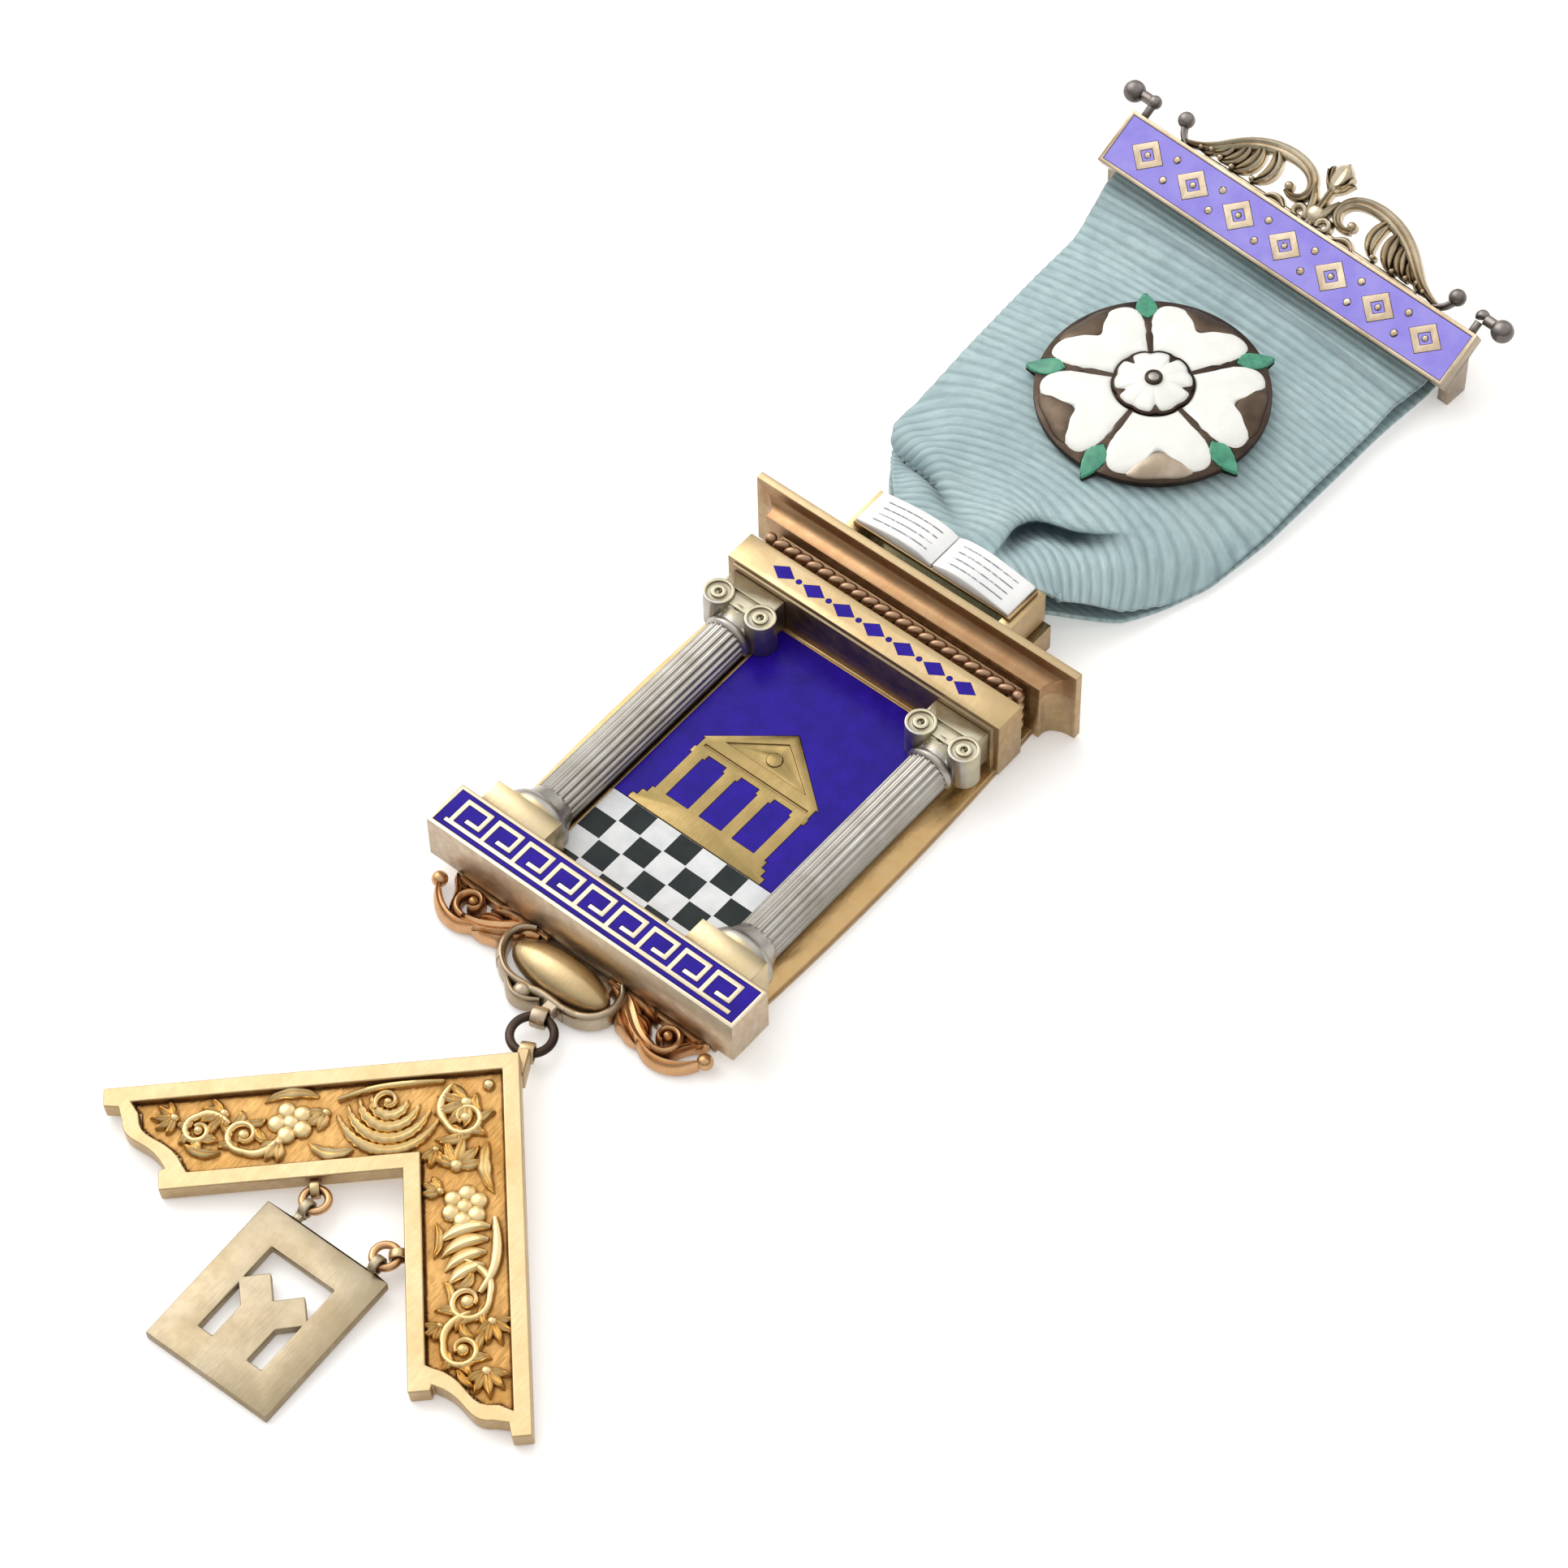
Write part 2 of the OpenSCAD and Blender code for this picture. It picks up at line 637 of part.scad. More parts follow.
// Half width of the ribbon at share t, which is squeezed between the bail's posts at its end
function half_at(t, u) =
    front_at(t, u < 0 ? 1 : 2) * ribbon_w
        + (bail_in / 2 - bail_room - front_rows[0][1] * ribbon_w) * max(0, 1 - t / 0.15);

// Height that one fold adds at share t along the run and share q of the width
function fold_height(f, t, q) =
    let (dx = q * ribbon_w - f[1] * ribbon_w, dy = (t - f[0]) * ribbon_run,
        along = dx * cos(f[2]) + dy * sin(f[2]), across = dy * cos(f[2]) - dx * sin(f[2]),
        a = along / (f[3] * ribbon_w), b = across / (f[4] * ribbon_w))
    f[5] * gather_z * exp(-a * a - b * b);

// Height of the pleats of the gathered end
function pleat_height(t, u) = gather_z * 0.8 * max(0, 1 - abs(t - 0.1) / 0.12) * cos(u * 560);

// Middle of the front layer at share t along and u across, from -1 to 1
function front_point(t, u) =
    let (x = u * half_at(t, u), droop = pow(abs(u), 2.6),
        m = front_at(t, 3) * (1 - droop) + front_at(t, 4) * droop,
        z = puff_z * m + (bail_front - puff_z) * front_at(t, 5) + (rod_front - puff_z) * front_at(t, 6),
        soft = min(1, t / 0.08) * min(1, (1 - t) / 0.12),
        folds = [for (f = fold_rows) fold_height(f, t, x / ribbon_w)],
        sum = folds * [for (f = folds) 1])
    [x, bail_y + t * ribbon_run + skew(t, x), z + soft * (sum + pleat_height(t, u))];

// How far the swung brooch bar pulls the ribbon along
function skew(t, x) = x * tan(brooch_swing) * min(1, max(0, (t - 0.6) / 0.32));

// Middle of the back layer
function back_point(t, u) =
    let (x = u * (half_at(t, u) + 0.006 * ribbon_w * min(1, t / 0.04)),
        rise = lookup(t, back_rise))
    [x, bail_y + t * ribbon_run + skew(t, x), floor_mid + (bail_back - floor_mid) * rise];

// Middle of the fold round a bar
function arc_point(t, a, r, z, u) =
    let (x = u * half_at(t, u))
    [x, bail_y + t * ribbon_run + skew(t, x) + r * cos(a), z + r * sin(a)];

// The whole loop at one place across
function loop(u) = concat(
    [for (i = [0:front_n - 1]) front_point(pow(i / front_n, 1.2), u)],
    [for (i = [0:arc_n]) arc_point(1, 90 - 180 * i / arc_n, loop_rod, rod_z, u)],
    [for (i = [1:back_n - 1]) back_point(pow(1 - i / back_n, 1.7), u)],
    [for (i = [0:arc_n - 1]) arc_point(0, -90 - 180 * i / arc_n, loop_bail, bail_z, u)]);

// A loop moved out by d, square to its own line
function shifted(p, d) =
    let (n = len(p))
    [for (i = [0:n - 1]) let (v = p[(i + 1) % n] - p[(i + n - 1) % n])
        p[i] + d * [0, -v[2], v[1]] / norm([v[1], v[2]])];

module ribbon() {
    loops = [for (j = [0:across_n]) loop(-1 + 2 * j / across_n)];
    n = len(loops[0]);
    m = across_n + 1;
    outer = [for (p = loops) each shifted(p, ribbon_t / 2)];
    inner = [for (p = loops) each shifted(p, -ribbon_t / 2)];
    size = n * m;
    skin = [for (j = [0:m - 2], i = [0:n - 1]) let (k = (i + 1) % n)
        each [[j * n + i, (j + 1) * n + k, (j + 1) * n + i], [j * n + i, j * n + k, (j + 1) * n + k]]];
    lining = [for (f = skin) [size + f[0], size + f[2], size + f[1]]];
    last = (m - 1) * n;
    edges = [for (i = [0:n - 1]) let (k = (i + 1) % n)
        each [[i, size + k, k], [i, size + i, size + k],
            [last + i, last + k, size + last + k], [last + i, size + last + k, size + last + i]]];
    color([0.60, 0.72, 0.74]) seated() polyhedron(concat(outer, inner), concat(skin, lining, edges));
}

// Places children in the brooch bar's own plane, whose lower front edge is the X axis
module on_brooch() {
    translate([brooch_x, brooch_y, brooch_z]) rotate([0, 0, brooch_swing])
        rotate([brooch_tilt, 0, 0]) children();
}

// Outlined lozenges and dots along the brooch bar, grown by gap
module brooch_marks(gap) {
    pitch = (brooch_w - 2.4) / lozenges;
    long = 0.34 * pitch;
    tall = 0.29 * brooch_h;
    inner = 1 - 0.9 / tall;
    for (i = [0:lozenges - 1])
        translate([(i - (lozenges - 1) / 2) * pitch, brooch_h / 2]) {
            difference() {
                lozenge(long + 1.5 * gap, tall + 1.5 * gap);
                lozenge(inner * long - 1.5 * gap, inner * tall - 1.5 * gap);
            }
            circle(0.3 + gap);
        }
    for (i = [0:lozenges - 2], s = [-1, 1])
        translate([(i - (lozenges - 2) / 2) * pitch, (0.5 + 0.2 * s) * brooch_h])
            circle(0.36 + gap);
}

module brooch_tray(gap) {
    rect(-brooch_w / 2 + rim + gap, rim + gap, brooch_w / 2 - rim - gap, brooch_h - rim - gap);
}

// One half of the pierced crest, in shares of its height
module crest_half() {
    k = crest_h / 6.5;
    stroke(concat(curve([15.6, 0.5] * k, [13.2, 0.7] * k, [11.6, 3.6] * k, [8.4, 4.5] * k),
        curve([7.4, 4.75] * k, [5.6, 5.2] * k, [3.6, 5.2] * k, [2.2, 4.2] * k),
        spiral([3.0, 2.9] * k, 1.55 * k, 1.25 * k, 140, 400, 10)), [0.5, 1.15, 0.6]);
    translate([3.9, 3.3] * k) circle(0.55 * k);
    leaf([9.6, 4.2] * k, [11.5, 0.9] * k, -0.12, 1.0);
    leaf([8.6, 4.5] * k, [9.4, -0.2] * k, -0.14, 1.15);
    leaf([7.3, 4.8] * k, [7.3, -0.2] * k, -0.16, 1.15);
    leaf([6.0, 4.9] * k, [5.4, -0.2] * k, -0.18, 1.05);
    stroke(spiral([1.55, 0.75] * k, 0.85 * k, 0.7 * k, 200, -60, 8), [0.5, 0.6, 0.5]);
    stroke(curve([0.75, 0.9] * k, [0.9, 2.0] * k, [1.3, 2.2] * k, [1.5, 3.0] * k, 5), [0.5, 0.7, 0.5]);
    leaf([0.2, 4.2] * k, [1.5, 5.1] * k, 0.15, 0.9);
    stroke(curve([14.9, 0.0] * k, [15.8, 0.6] * k, [16.0, 1.2] * k, [16.4, 1.5] * k, 5), [0.5, 0.5, 0.6]);
}

// Raised ribs on the leaves of the crest
module crest_ribs() {
    k = crest_h / 6.5;
    stroke(concat(curve([14.2, 0.9] * k, [12.6, 1.4] * k, [11.2, 3.7] * k, [8.4, 4.6] * k, 6),
        curve([7.4, 4.85] * k, [5.6, 5.3] * k, [3.6, 5.2] * k, [2.3, 4.25] * k, 6)), [0.2, 0.45, 0.25]);
    leaf([9.5, 3.7] * k, [11.2, 1.5] * k, -0.12, 0.45);
    leaf([8.5, 4.0] * k, [9.2, 0.6] * k, -0.14, 0.5);
    leaf([7.2, 4.2] * k, [7.2, 0.6] * k, -0.16, 0.5);
    leaf([6.0, 4.3] * k, [5.5, 0.6] * k, -0.18, 0.45);
}

module crest() {
    base = -brooch_t + 0.3;
    k = crest_h / 6.5;
    mid = 0.4;
    translate([mid, brooch_h, 0]) {
        for (s = [0, 1]) mirror([s, 0, 0]) {
            slab(base, base + 0.8) crest_half();
            slab(base + 0.7, base + 1.15) crest_ribs();
            translate([16.4 * k, 1.9 * k, base + 0.55]) sphere(0.8);
        }
        slab(base, base + 0.95) {
            polygon([[-0.55, 0], [0.55, 0], [0.4, 3.9] * k, [1.05, 5.1] * k, [0, crest_h],
                [-1.05, 5.1] * k, [-0.4, 3.9] * k]);
            rect(-12.5 * k, -0.3, 12.5 * k, 0.35);
        }
    }
    for (s = [-1, 1])
        translate([s * (brooch_w / 2 + 0.3), brooch_h, base + 0.4]) {
            translate([s * 1.1, 1.6, 0] * k) sphere(1.1 * k);
            translate([-s * 1.1, 1.7, 0] * k) rotate([0, s * 90, 0]) cylinder(r = 0.55 * k, h = 2 * k);
            translate([-s * 1.3, 1.75, 0] * k) sphere(0.7 * k);
            translate([-s * 1.3, 1.6, 0] * k) rotate([90, 0, 0]) cylinder(r = 0.4 * k, h = 1.9 * k);
        }
}

// Pierced lugs behind the brooch bar that carry the ribbon's rod and stand on the surface
module rod_lugs() {
    lug_x = ribbon_w / 2 + 0.32 * brooch_over;
    y0 = 0.276 * brooch_h;
    y1 = 0.724 * brooch_h;
    lug_t = 0.65 * brooch_over;
    rise = tan(brooch_tilt);
    back_y = brooch_t * sin(brooch_tilt);
    back_z = brooch_z - brooch_t * cos(brooch_tilt);
    translate([brooch_x, brooch_y, 0]) rotate([0, 0, brooch_swing]) {
        for (s = [-1, 1])
            translate([s * (lug_x + lug_t / 2) - lug_t / 2, 0, 0]) rotate([90, 0, 90]) linear_extrude(lug_t)
                polygon([[y0, 0.03], [y1, 0.03], [y1, back_z + (y1 - back_y) * rise + 0.3],
                    [y0, back_z + (y0 - back_y) * rise + 0.3]]);
        translate([-lug_x - 0.3, rod_y - brooch_y, rod_z]) rotate([0, 90, 0])
            cylinder(r = rod_r, h = 2 * lug_x + 0.6);
    }
}

module brooch_bar() {
    color(pale_gilt) seated() {
        on_brooch() {
            difference() {
                slab(-brooch_t, 0) rect(-brooch_w / 2, 0, brooch_w / 2, brooch_h);
                slab(-cell_d, 1) brooch_tray(0);
            }
            slab(-cell_d - 0.1, -0.01) brooch_marks(0);
            crest();
        }
        rod_lugs();
    }
}

module brooch_enamel() {
    color(lilac) seated() on_brooch() difference() {
        slab(-cell_d + fit, -0.04) brooch_tray(fit);
        slab(-cell_d - 1, 1) brooch_marks(fit);
    }
}

module brooch_pin() {
    reach = 0.34 * brooch_w;
    drop = 2.0;
    color(pale_gilt) seated() on_brooch() {
        for (s = [-1, 1])
            translate([s * reach, 0.74 * brooch_h, -brooch_t - fit - drop]) cylinder(r = 0.6, h = drop);
        translate([-reach - 1, 0.74 * brooch_h, -brooch_t - fit - drop]) rotate([0, 90, 0])
            cylinder(r = 0.4, h = 2 * reach + 2);
    }
}

// Height of the rose's surface at a share of its radius
rose_rows = [[0, 1], [0.34, 1], [0.62, 0.86], [0.86, 0.52], [0.96, 0.16], [1.12, -0.12]];

function rose_surface(q) = rose_rim + (rose_h - rose_rim) * lookup(q, rose_rows);

// Profile between the rose's surface lowered by low and raised by high
function rose_shell(low, high) = concat(
    [for (r = rose_rows) [r[0] * rose_r, rose_surface(r[0]) + high]],
    [for (i = [len(rose_rows) - 1:-1:0]) let (r = rose_rows[i])
        [r[0] * rose_r, rose_surface(r[0]) - low]]);

// Heart-shaped petal outline, grown by gap
module petal_outline(gap) {
    n = 22;
    span = 34.2;
    outer = [for (i = [0:n]) let (a = -span + 2 * span * i / n, b = abs(a) / span,
        r = rose_r * (0.945 - 0.125 * exp(-a * a / 90) - 0.34 * pow(b, 7)) + gap,
        c = a + gap * a / span * 57.3 / r)
        [r * cos(c), r * sin(c)]];
    r0 = heart_r + 0.32 - gap;
    half = 22 + gap * 57.3 / r0;
    inner = [for (i = [0:4]) let (a = half - 2 * half * i / 4) [r0 * cos(a), r0 * sin(a)]];
    polygon(concat(outer, inner));
}

// Pointed sepal between two petals, grown by gap
module sepal_outline(gap) {
    r0 = 0.76 * rose_r - gap;
    r1 = 1.1 * rose_r + gap;
    n = 5;
    w = 0.085 * rose_r + gap;
    up = [for (i = [0:n]) let (t = i / n) [r0 + (r1 - r0) * t, w * sin(180 * pow(t, 0.8)) + 0.12]];
    down = [for (i = [n:-1:0]) [up[i][0], -up[i][1]]];
    polygon(concat(up, down));
}

module on_rose() {
    translate([rose_x, rose_y, rose_z]) rotate([0, 0, rose_turn]) children();
}

// What lies between the rose's surface lowered by low and raised by high, within an outline
module rose_cell(low, high) {
    intersection() {
        rotate_extrude() polygon(rose_shell(low, high));
        slab(-1, rose_h + 1) children();
    }
}

module rose_setting() {
    color(dark_metal) seated() on_rose() difference() {
        union() {
            rotate_extrude() polygon(concat([[0, 0], [0.93 * rose_r, 0], [rose_r, 0.3]],
                [[rose_r, rose_surface(1)]],
                [for (i = [4:-1:0]) [rose_rows[i][0] * rose_r, rose_surface(rose_rows[i][0])]]));
            for (k = [0:4]) rotate([0, 0, 36 + 72 * k]) slab(0.1, rose_surface(1.12) - petal_t)
                sepal_outline(0);
        }
        for (k = [0:4]) {
            rotate([0, 0, 72 * k]) rose_cell(petal_t, 1) petal_outline(fit);
            rotate([0, 0, 36 + 72 * k]) rose_cell(petal_t, 1) sepal_outline(fit);
        }
    }
}

module rose_petal(k) {
    color(white) seated() on_rose() rotate([0, 0, 72 * k])
        rose_cell(petal_t - fit, 0.05) petal_outline(0);
}

module rose_sepal(k) {
    color([0.10, 0.55, 0.38]) seated() on_rose() rotate([0, 0, 36 + 72 * k])
        rose_cell(petal_t - fit, 0.08) sepal_outline(0);
}

// Small inner rose with five notches round its rim
module rose_heart() {
    z = rose_h + fit;
    stud = 0.065 * rose_r;
    color(white) seated() on_rose() translate([0, 0, z]) difference() {
        rotate_extrude() polygon([[0, 0], [heart_r, 0], [heart_r, 0.35], [0.86 * heart_r, 0.62],
            [0.55 * heart_r, 0.82], [0, 0.92]]);
        for (k = [0:4]) rotate([0, 0, 36 + 72 * k])
            slab(0.25, 2) polygon([[0.72 * heart_r, 0], [1.1 * heart_r, -0.5], [1.1 * heart_r, 0.5]]);
        translate([0, 0, 0.45]) cylinder(r = stud + fit, h = 1);
    }
}

module rose_stud() {
    stud = 0.065 * rose_r;
    color([0.55, 0.55, 0.55]) seated() on_rose() translate([0, 0, rose_h + 0.45 + 2 * fit])
        rotate_extrude() polygon([[0, 0], [stud, 0], [stud, 0.45], [0.6 * stud, 0.62], [0, 0.68]]);
}

module rose_petal_1() { rose_petal(0); }
module rose_petal_2() { rose_petal(1); }
module rose_petal_3() { rose_petal(2); }
module rose_petal_4() { rose_petal(3); }
module rose_petal_5() { rose_petal(4); }
module rose_sepal_1() { rose_sepal(0); }
module rose_sepal_2() { rose_sepal(1); }
module rose_sepal_3() { rose_sepal(2); }
module rose_sepal_4() { rose_sepal(3); }
module rose_sepal_5() { rose_sepal(4); }

// One side of the pierced foliage under the bottom bar
module drop_side() {
    scale(drop_w / 15) {
        stroke(curve([4.4, 0.2], [7.2, 0.2], [8.0, -3.4], [11.2, -3.0], 10), [1.6, 2.0, 0.8]);
        stroke(spiral([11.0, -1.5], 1.5, 0.7, -90, 250, 14), [0.8, 0.8, 0.6]);
        translate([11.0, -1.2]) circle(0.6);
        stroke(curve([9.4, -3.1], [11.2, -4.4], [13.4, -3.4], [14.6, -1.7], 8), [0.6, 1.0, 0.5]);
        leaf([6.4, -0.6], [8.6, 0.4], 0.1, 1.2);
        leaf([12.2, -0.4], [14.2, 0.4], -0.2, 0.9);
    }
    rect(0.233 * drop_w, -0.35, 0.907 * drop_w, drop_top);
}

// Strap round the boss that carries the eyelet
module drop_straps() {
    scale(drop_w / 15) {
        stroke(curve([-4.9, 0.4], [-6.9, -0.6], [-6.6, -3.0], [-5.2, -4.3], 8), [0.8, 0.9, 0.9]);
        stroke(curve([-5.5, -4.0], [-4.2, -5.9], [-2.2, -5.0], [-0.9, -5.2], 8), [0.9, 0.9, 0.9]);
        stroke(curve([-1.4, -5.3], [0.4, -4.5], [1.4, -5.2], [2.6, -5.0], 8), [0.9, 1.0, 0.9]);
        stroke(curve([2.2, -5.0], [4.4, -5.4], [6.4, -3.4], [5.6, -0.9], 8), [0.9, 1.0, 0.8]);
        stroke(curve([5.6, -1.3], [5.4, -0.4], [5.0, 0.1], [4.4, 0.4], 4), [0.8, 0.9, 0.9]);
    }
}

module drop_ornament() {
    k = drop_w / 15;
    color(rose_gilt) seated() difference() {
        union() {
            slab(drop_z0, drop_z0 + drop_t) intersection() {
                union() {
                    drop_side();
                    mirror([1, 0, 0]) drop_side();
                    rect(-drop_w / 3, -0.15, drop_w / 3, drop_top);
                }
                rect(-drop_w, -drop_w / 2, drop_w, drop_top);
            }
            slab(drop_z0, drop_z0 + 0.7) rect(-4.2 * k, -3.6 * k, 4.2 * k, 0.3);
            slab(drop_z0, drop_z0 + 1.7) intersection() {
                drop_straps();
                rect(-drop_w / 2, -drop_w / 2, drop_w / 2, -0.05);
            }
            for (s = [-1, 1])
                translate([s * drop_w, -1.2 * k, drop_z0 + drop_t / 2]) sphere(drop_t / 2);
            translate([-1.6 * k, -5.7 * k, drop_z0 + 1.0]) sphere(0.95 * k);
            slab(drop_z0 + 0.3, drop_z0 + 1.6)
                rect(drop_eye[0] - 0.6, drop_eye[1] + hole_r + 0.1, drop_eye[0] + 0.6, -4.9 * k);
            lying_rod(drop_eye, ring_z, ring_turn + 90, eyelet_r, 1.4);
        }
        lying_rod(drop_eye, ring_z, ring_turn + 90, hole_r, 3);
    }
}

// Polished oval boss on the lower ornament
module boss() {
    rows = 7;
    ring = 28;
    a = 0.313 * drop_w;
    b = 0.13 * drop_w;
    y = -0.157 * drop_w;
    h = 1.9;
    z0 = drop_z0 + 0.7 + fit;
    base = [for (j = [0:rows - 1], i = [0:ring - 1]) let (q = 90 * j / rows, t = 360 * i / ring)
        [a * cos(q) * cos(t), y + b * cos(q) * sin(t), z0 + 0.3 + h * sin(q)]];
    floor_ring = [for (i = [0:ring - 1]) let (t = 360 * i / ring) [a * cos(t), y + b * sin(t), z0]];
    points = concat(floor_ring, base, [[0, y, z0 + 0.3 + h]]);
    sides = [for (j = [0:rows - 1], i = [0:ring - 1]) let (k = (i + 1) % ring)
        [j * ring + i, (j + 1) * ring + i, (j + 1) * ring + k, j * ring + k]];
    top = [for (i = [0:ring - 1]) [rows * ring + i, (rows + 1) * ring, rows * ring + (i + 1) % ring]];
    under = [[for (i = [0:ring - 1]) i]];
    color(gilt) seated() polyhedron(points, concat(under, sides, top));
}

module jump_ring() {
    color(dark_metal) seated() wire_ring(ring_c, ring_z, ring_r, wire_r);
}

// Places children in the square's own plane: the corner is the origin, the arms run along X and Y
module on_square() {
    translate([corner[0], corner[1], corner_z]) rotate([square_tilt, 0, 0]) rotate([0, 0, square_swing])
        rotate([0, 0, -45]) mirror([0, 1, 0]) children();
}

// One arm's outline, with the stepped and waved end of such squares; places along the arm are
// taken back from its outer length
module arm_outline() {
    e = square_l;
    wave = curve([e - 1.6, 3.6], [e - 1.9, 5.6], [e - 4.0, 5.2], [e - 5.2, 8.05], 7);
    polygon(concat([[0, 0], [e, 0], [e, 1.7], [e - 1.3, 1.9], [e - 1.6, 3.2]], wave,
        [[e - 4.7, 8.2], [e - 4.7, arm_w], [0, arm_w]]));
}

// The recess in one arm, inside its border
module arm_recess() {
    e = square_l;
    b = border_w;
    wave = curve([e - 1.6 - b, 3.6], [e - 1.9 - b, 5.3], [e - 4.3 - b, 5.2], [e - 5.3 - b, 8.0], 6);
    polygon(concat([[b, b], [e - 0.9 - b, b], [e - 1.5 - b, 2.6]], wave,
        [[e - 5.6 - b, arm_w - b], [b, arm_w - b]]));
}

// A scroll of foliage: a spiral stem with leaves springing from it
module foliage_scroll(at, r, turn, hand) {
    translate(at) rotate(turn) mirror([0, hand, 0]) {
        stroke(spiral([0, 0], r, 0.3 * r, -100, 260, 16), [0.7, 0.65, 0.4]);
        circle(0.3 * r);
        for (i = [0:3]) {
            a = -60 + 62 * i;
            leaf(0.85 * r * [cos(a), sin(a)], 1.35 * r * [cos(a + 42), sin(a + 42)], 0.25, 0.85);
        }
        stem = r * [[cos(-100), sin(-100)], [-0.9, -1.25], [-1.6, -0.8], [-2.0, 0.1]];
        stroke(curve(stem[0], stem[1], stem[2], stem[3], 7), [0.7, 0.8, 0.4]);
    }
}

// A palmate leaf of five lobes
module palm_leaf(at, r, turn) {
    translate(at) rotate(turn) {
        for (i = [-2:2])
            leaf([0, 0], r * (1 - 0.12 * abs(i)) * [cos(34 * i), sin(34 * i)], 0.05 * i, 0.42 * r);
        circle(0.22 * r);
    }
}

module foliage_left() {
    palm_leaf([3.4, 6.2], 2.9, 70);
    foliage_scroll([5.6, 11.8], 1.9, 100, 0);
    foliage_scroll([4.4, 16.8], 1.8, 80, 1);
    palm_leaf([5.4, 19.8], 2.3, 60);
    foliage_scroll([5.2, 23.0], 1.7, 100, 0);
    palm_leaf([4.0, 26.2], 2.6, 95);
    leaf([3.0, 8.6], [2.4, 13.6], 0.2, 1.2);
    leaf([7.4, 14.0], [6.8, 18.6], -0.2, 1.1);
    leaf([3.0, 19.4], [3.2, 24.0], 0.2, 1.1);
}

module foliage_right() {
    foliage_scroll([6.8, 5.0], 1.7, -10, 1);
    translate([14.6, 4.9]) {
        for (i = [0:5]) rotate(60 * i) translate([1.15, 0]) circle(0.75, $fn = 24);
        circle(0.9, $fn = 24);
    }
    palm_leaf([12.0, 5.6], 2.4, 160);
    foliage_scroll([19.4, 5.0], 1.9, 0, 0);
    palm_leaf([22.2, 4.4], 2.4, -20);
    foliage_scroll([25.4, 5.2], 1.7, 0, 1);
    palm_leaf([28.0, 4.2], 2.2, -5);
    leaf([8.6, 3.0], [13.0, 2.6], 0.15, 1.1);
    leaf([16.4, 7.2], [21.0, 7.0], -0.15, 1.1);
    leaf([21.6, 7.4], [25.4, 6.8], -0.15, 1.0);
}

module relief_plan() {
    intersection() {
        union() {
            foliage_right();
            foliage_left();
        }
        union() {
            arm_recess();
            mirror([1, -1]) arm_recess();
        }
    }
}

// Rod through the eyelet on the inner edge of one arm, for the eyelet and for its bore
module hang_rod(r, length) {
    rise = (hang_along + arm_w) / sqrt(2) * sin(square_tilt);
    lying_rod([hang_along, arm_w + hang_out], small_z - corner_z + rise, 0, r, length);
}

module square_plate() {
    slab(-square_t, -ground_d) {
        arm_outline();
        mirror([1, -1]) arm_outline();
    }
    difference() {
        slab(-ground_d - 0.1, 0) {
            arm_outline();
            mirror([1, -1]) arm_outline();
        }
        slab(-ground_d, 1) {
            arm_recess();
            mirror([1, -1]) arm_recess();
        }
    }
}

module square_solid() {
    difference() {
        union() {
            on_square() {
                square_plate();
                slab(-ground_d - 0.1, -0.2) relief_plan();
                hang_rod(small_eyelet, 0.8);
                mirror([1, -1]) hang_rod(small_eyelet, 0.8);
            }
            lying_rod(corner_eye, ring_z, corner_turn + 90, eyelet_r, 1.3);
            translate([corner_eye[0], corner_eye[1], 0]) rotate([0, 0, corner_turn])
                translate([hole_r + 0.1, -0.5, 1.2]) cube([2.6, 1.0, corner_z - square_t - 0.9]);
        }
        lying_rod(corner_eye, ring_z, corner_turn + 90, hole_r, 3);
        on_square() {
            hang_rod(small_hole, 3);
            mirror([1, -1]) hang_rod(small_hole, 3);
        }
    }
}

module set_square() {
    color(gilt) seated() square_solid();
}

// A place on the square's plane, seen from the front of the jewel
function from_square(a, b) =
    let (turn = square_swing - 45,
        x = a * cos(turn) + b * sin(turn),
        y = a * sin(turn) - b * cos(turn))
    [corner[0] + x, corner[1] + y * cos(square_tilt) + 0.12];

ring_out = arm_w + hang_out + small_r - small_seat;
ring_right = from_square(hang_along, ring_out);
ring_left = from_square(ring_out, hang_along);

module plate_ring_left() {
    color(rose_gilt) seated() wire_ring(ring_left, small_z, small_r, small_wire);
}

module plate_ring_right() {
    color(rose_gilt) seated() wire_ring(ring_right, small_z, small_r, small_wire);
}

plate_top = (ring_left + ring_right) / 2 - [0, small_r - small_seat + small_eyelet + 0.25];

// Places children in the pierced plate's own plane, with the middle of its upper edge as origin
module on_plate() {
    translate([plate_top[0] - 0.5, plate_top[1], plate_h * sin(plate_tilt) + 0.03])
        rotate([plate_tilt, 0, 0]) rotate([0, 0, plate_swing]) children();
}

// Squares on the three sides of a right triangle, as the proposition is drawn
module proposition() {
    c = plate_w / 2 - frame_w + 0.3;
    leg = c / sqrt(2);
    base = frame_w + 0.38 * (plate_h - 2 * frame_w);
    translate([0, base - plate_h]) {
        rect(-c / 2, -base + frame_w - 0.3, c / 2, 0.02);
        polygon([[-c / 2, 0], [c / 2, 0], [0, c / 2 + 0.02]]);
        for (s = [0, 1])
            mirror([s, 0]) translate([c / 2, 0]) rotate(135) rect(-0.02, -leg, leg + 0.02, 0.02);
    }
}

// Eyelet over the plate's upper edge, on a stalk
module plate_eyelet(at) {
    eye = at - [0, small_r - small_seat];
    foot = plate_top[1] - 0.6;
    lying_rod(eye, small_z, 0, small_eyelet, 0.8);
    translate([at[0] - 0.35, foot, small_z - 0.55]) cube([0.7, eye[1] - small_hole - 0.1 - foot, 0.7]);
}

module plate_bore(at) {
    lying_rod(at - [0, small_r - small_seat], small_z, 0, small_hole, 3);
}

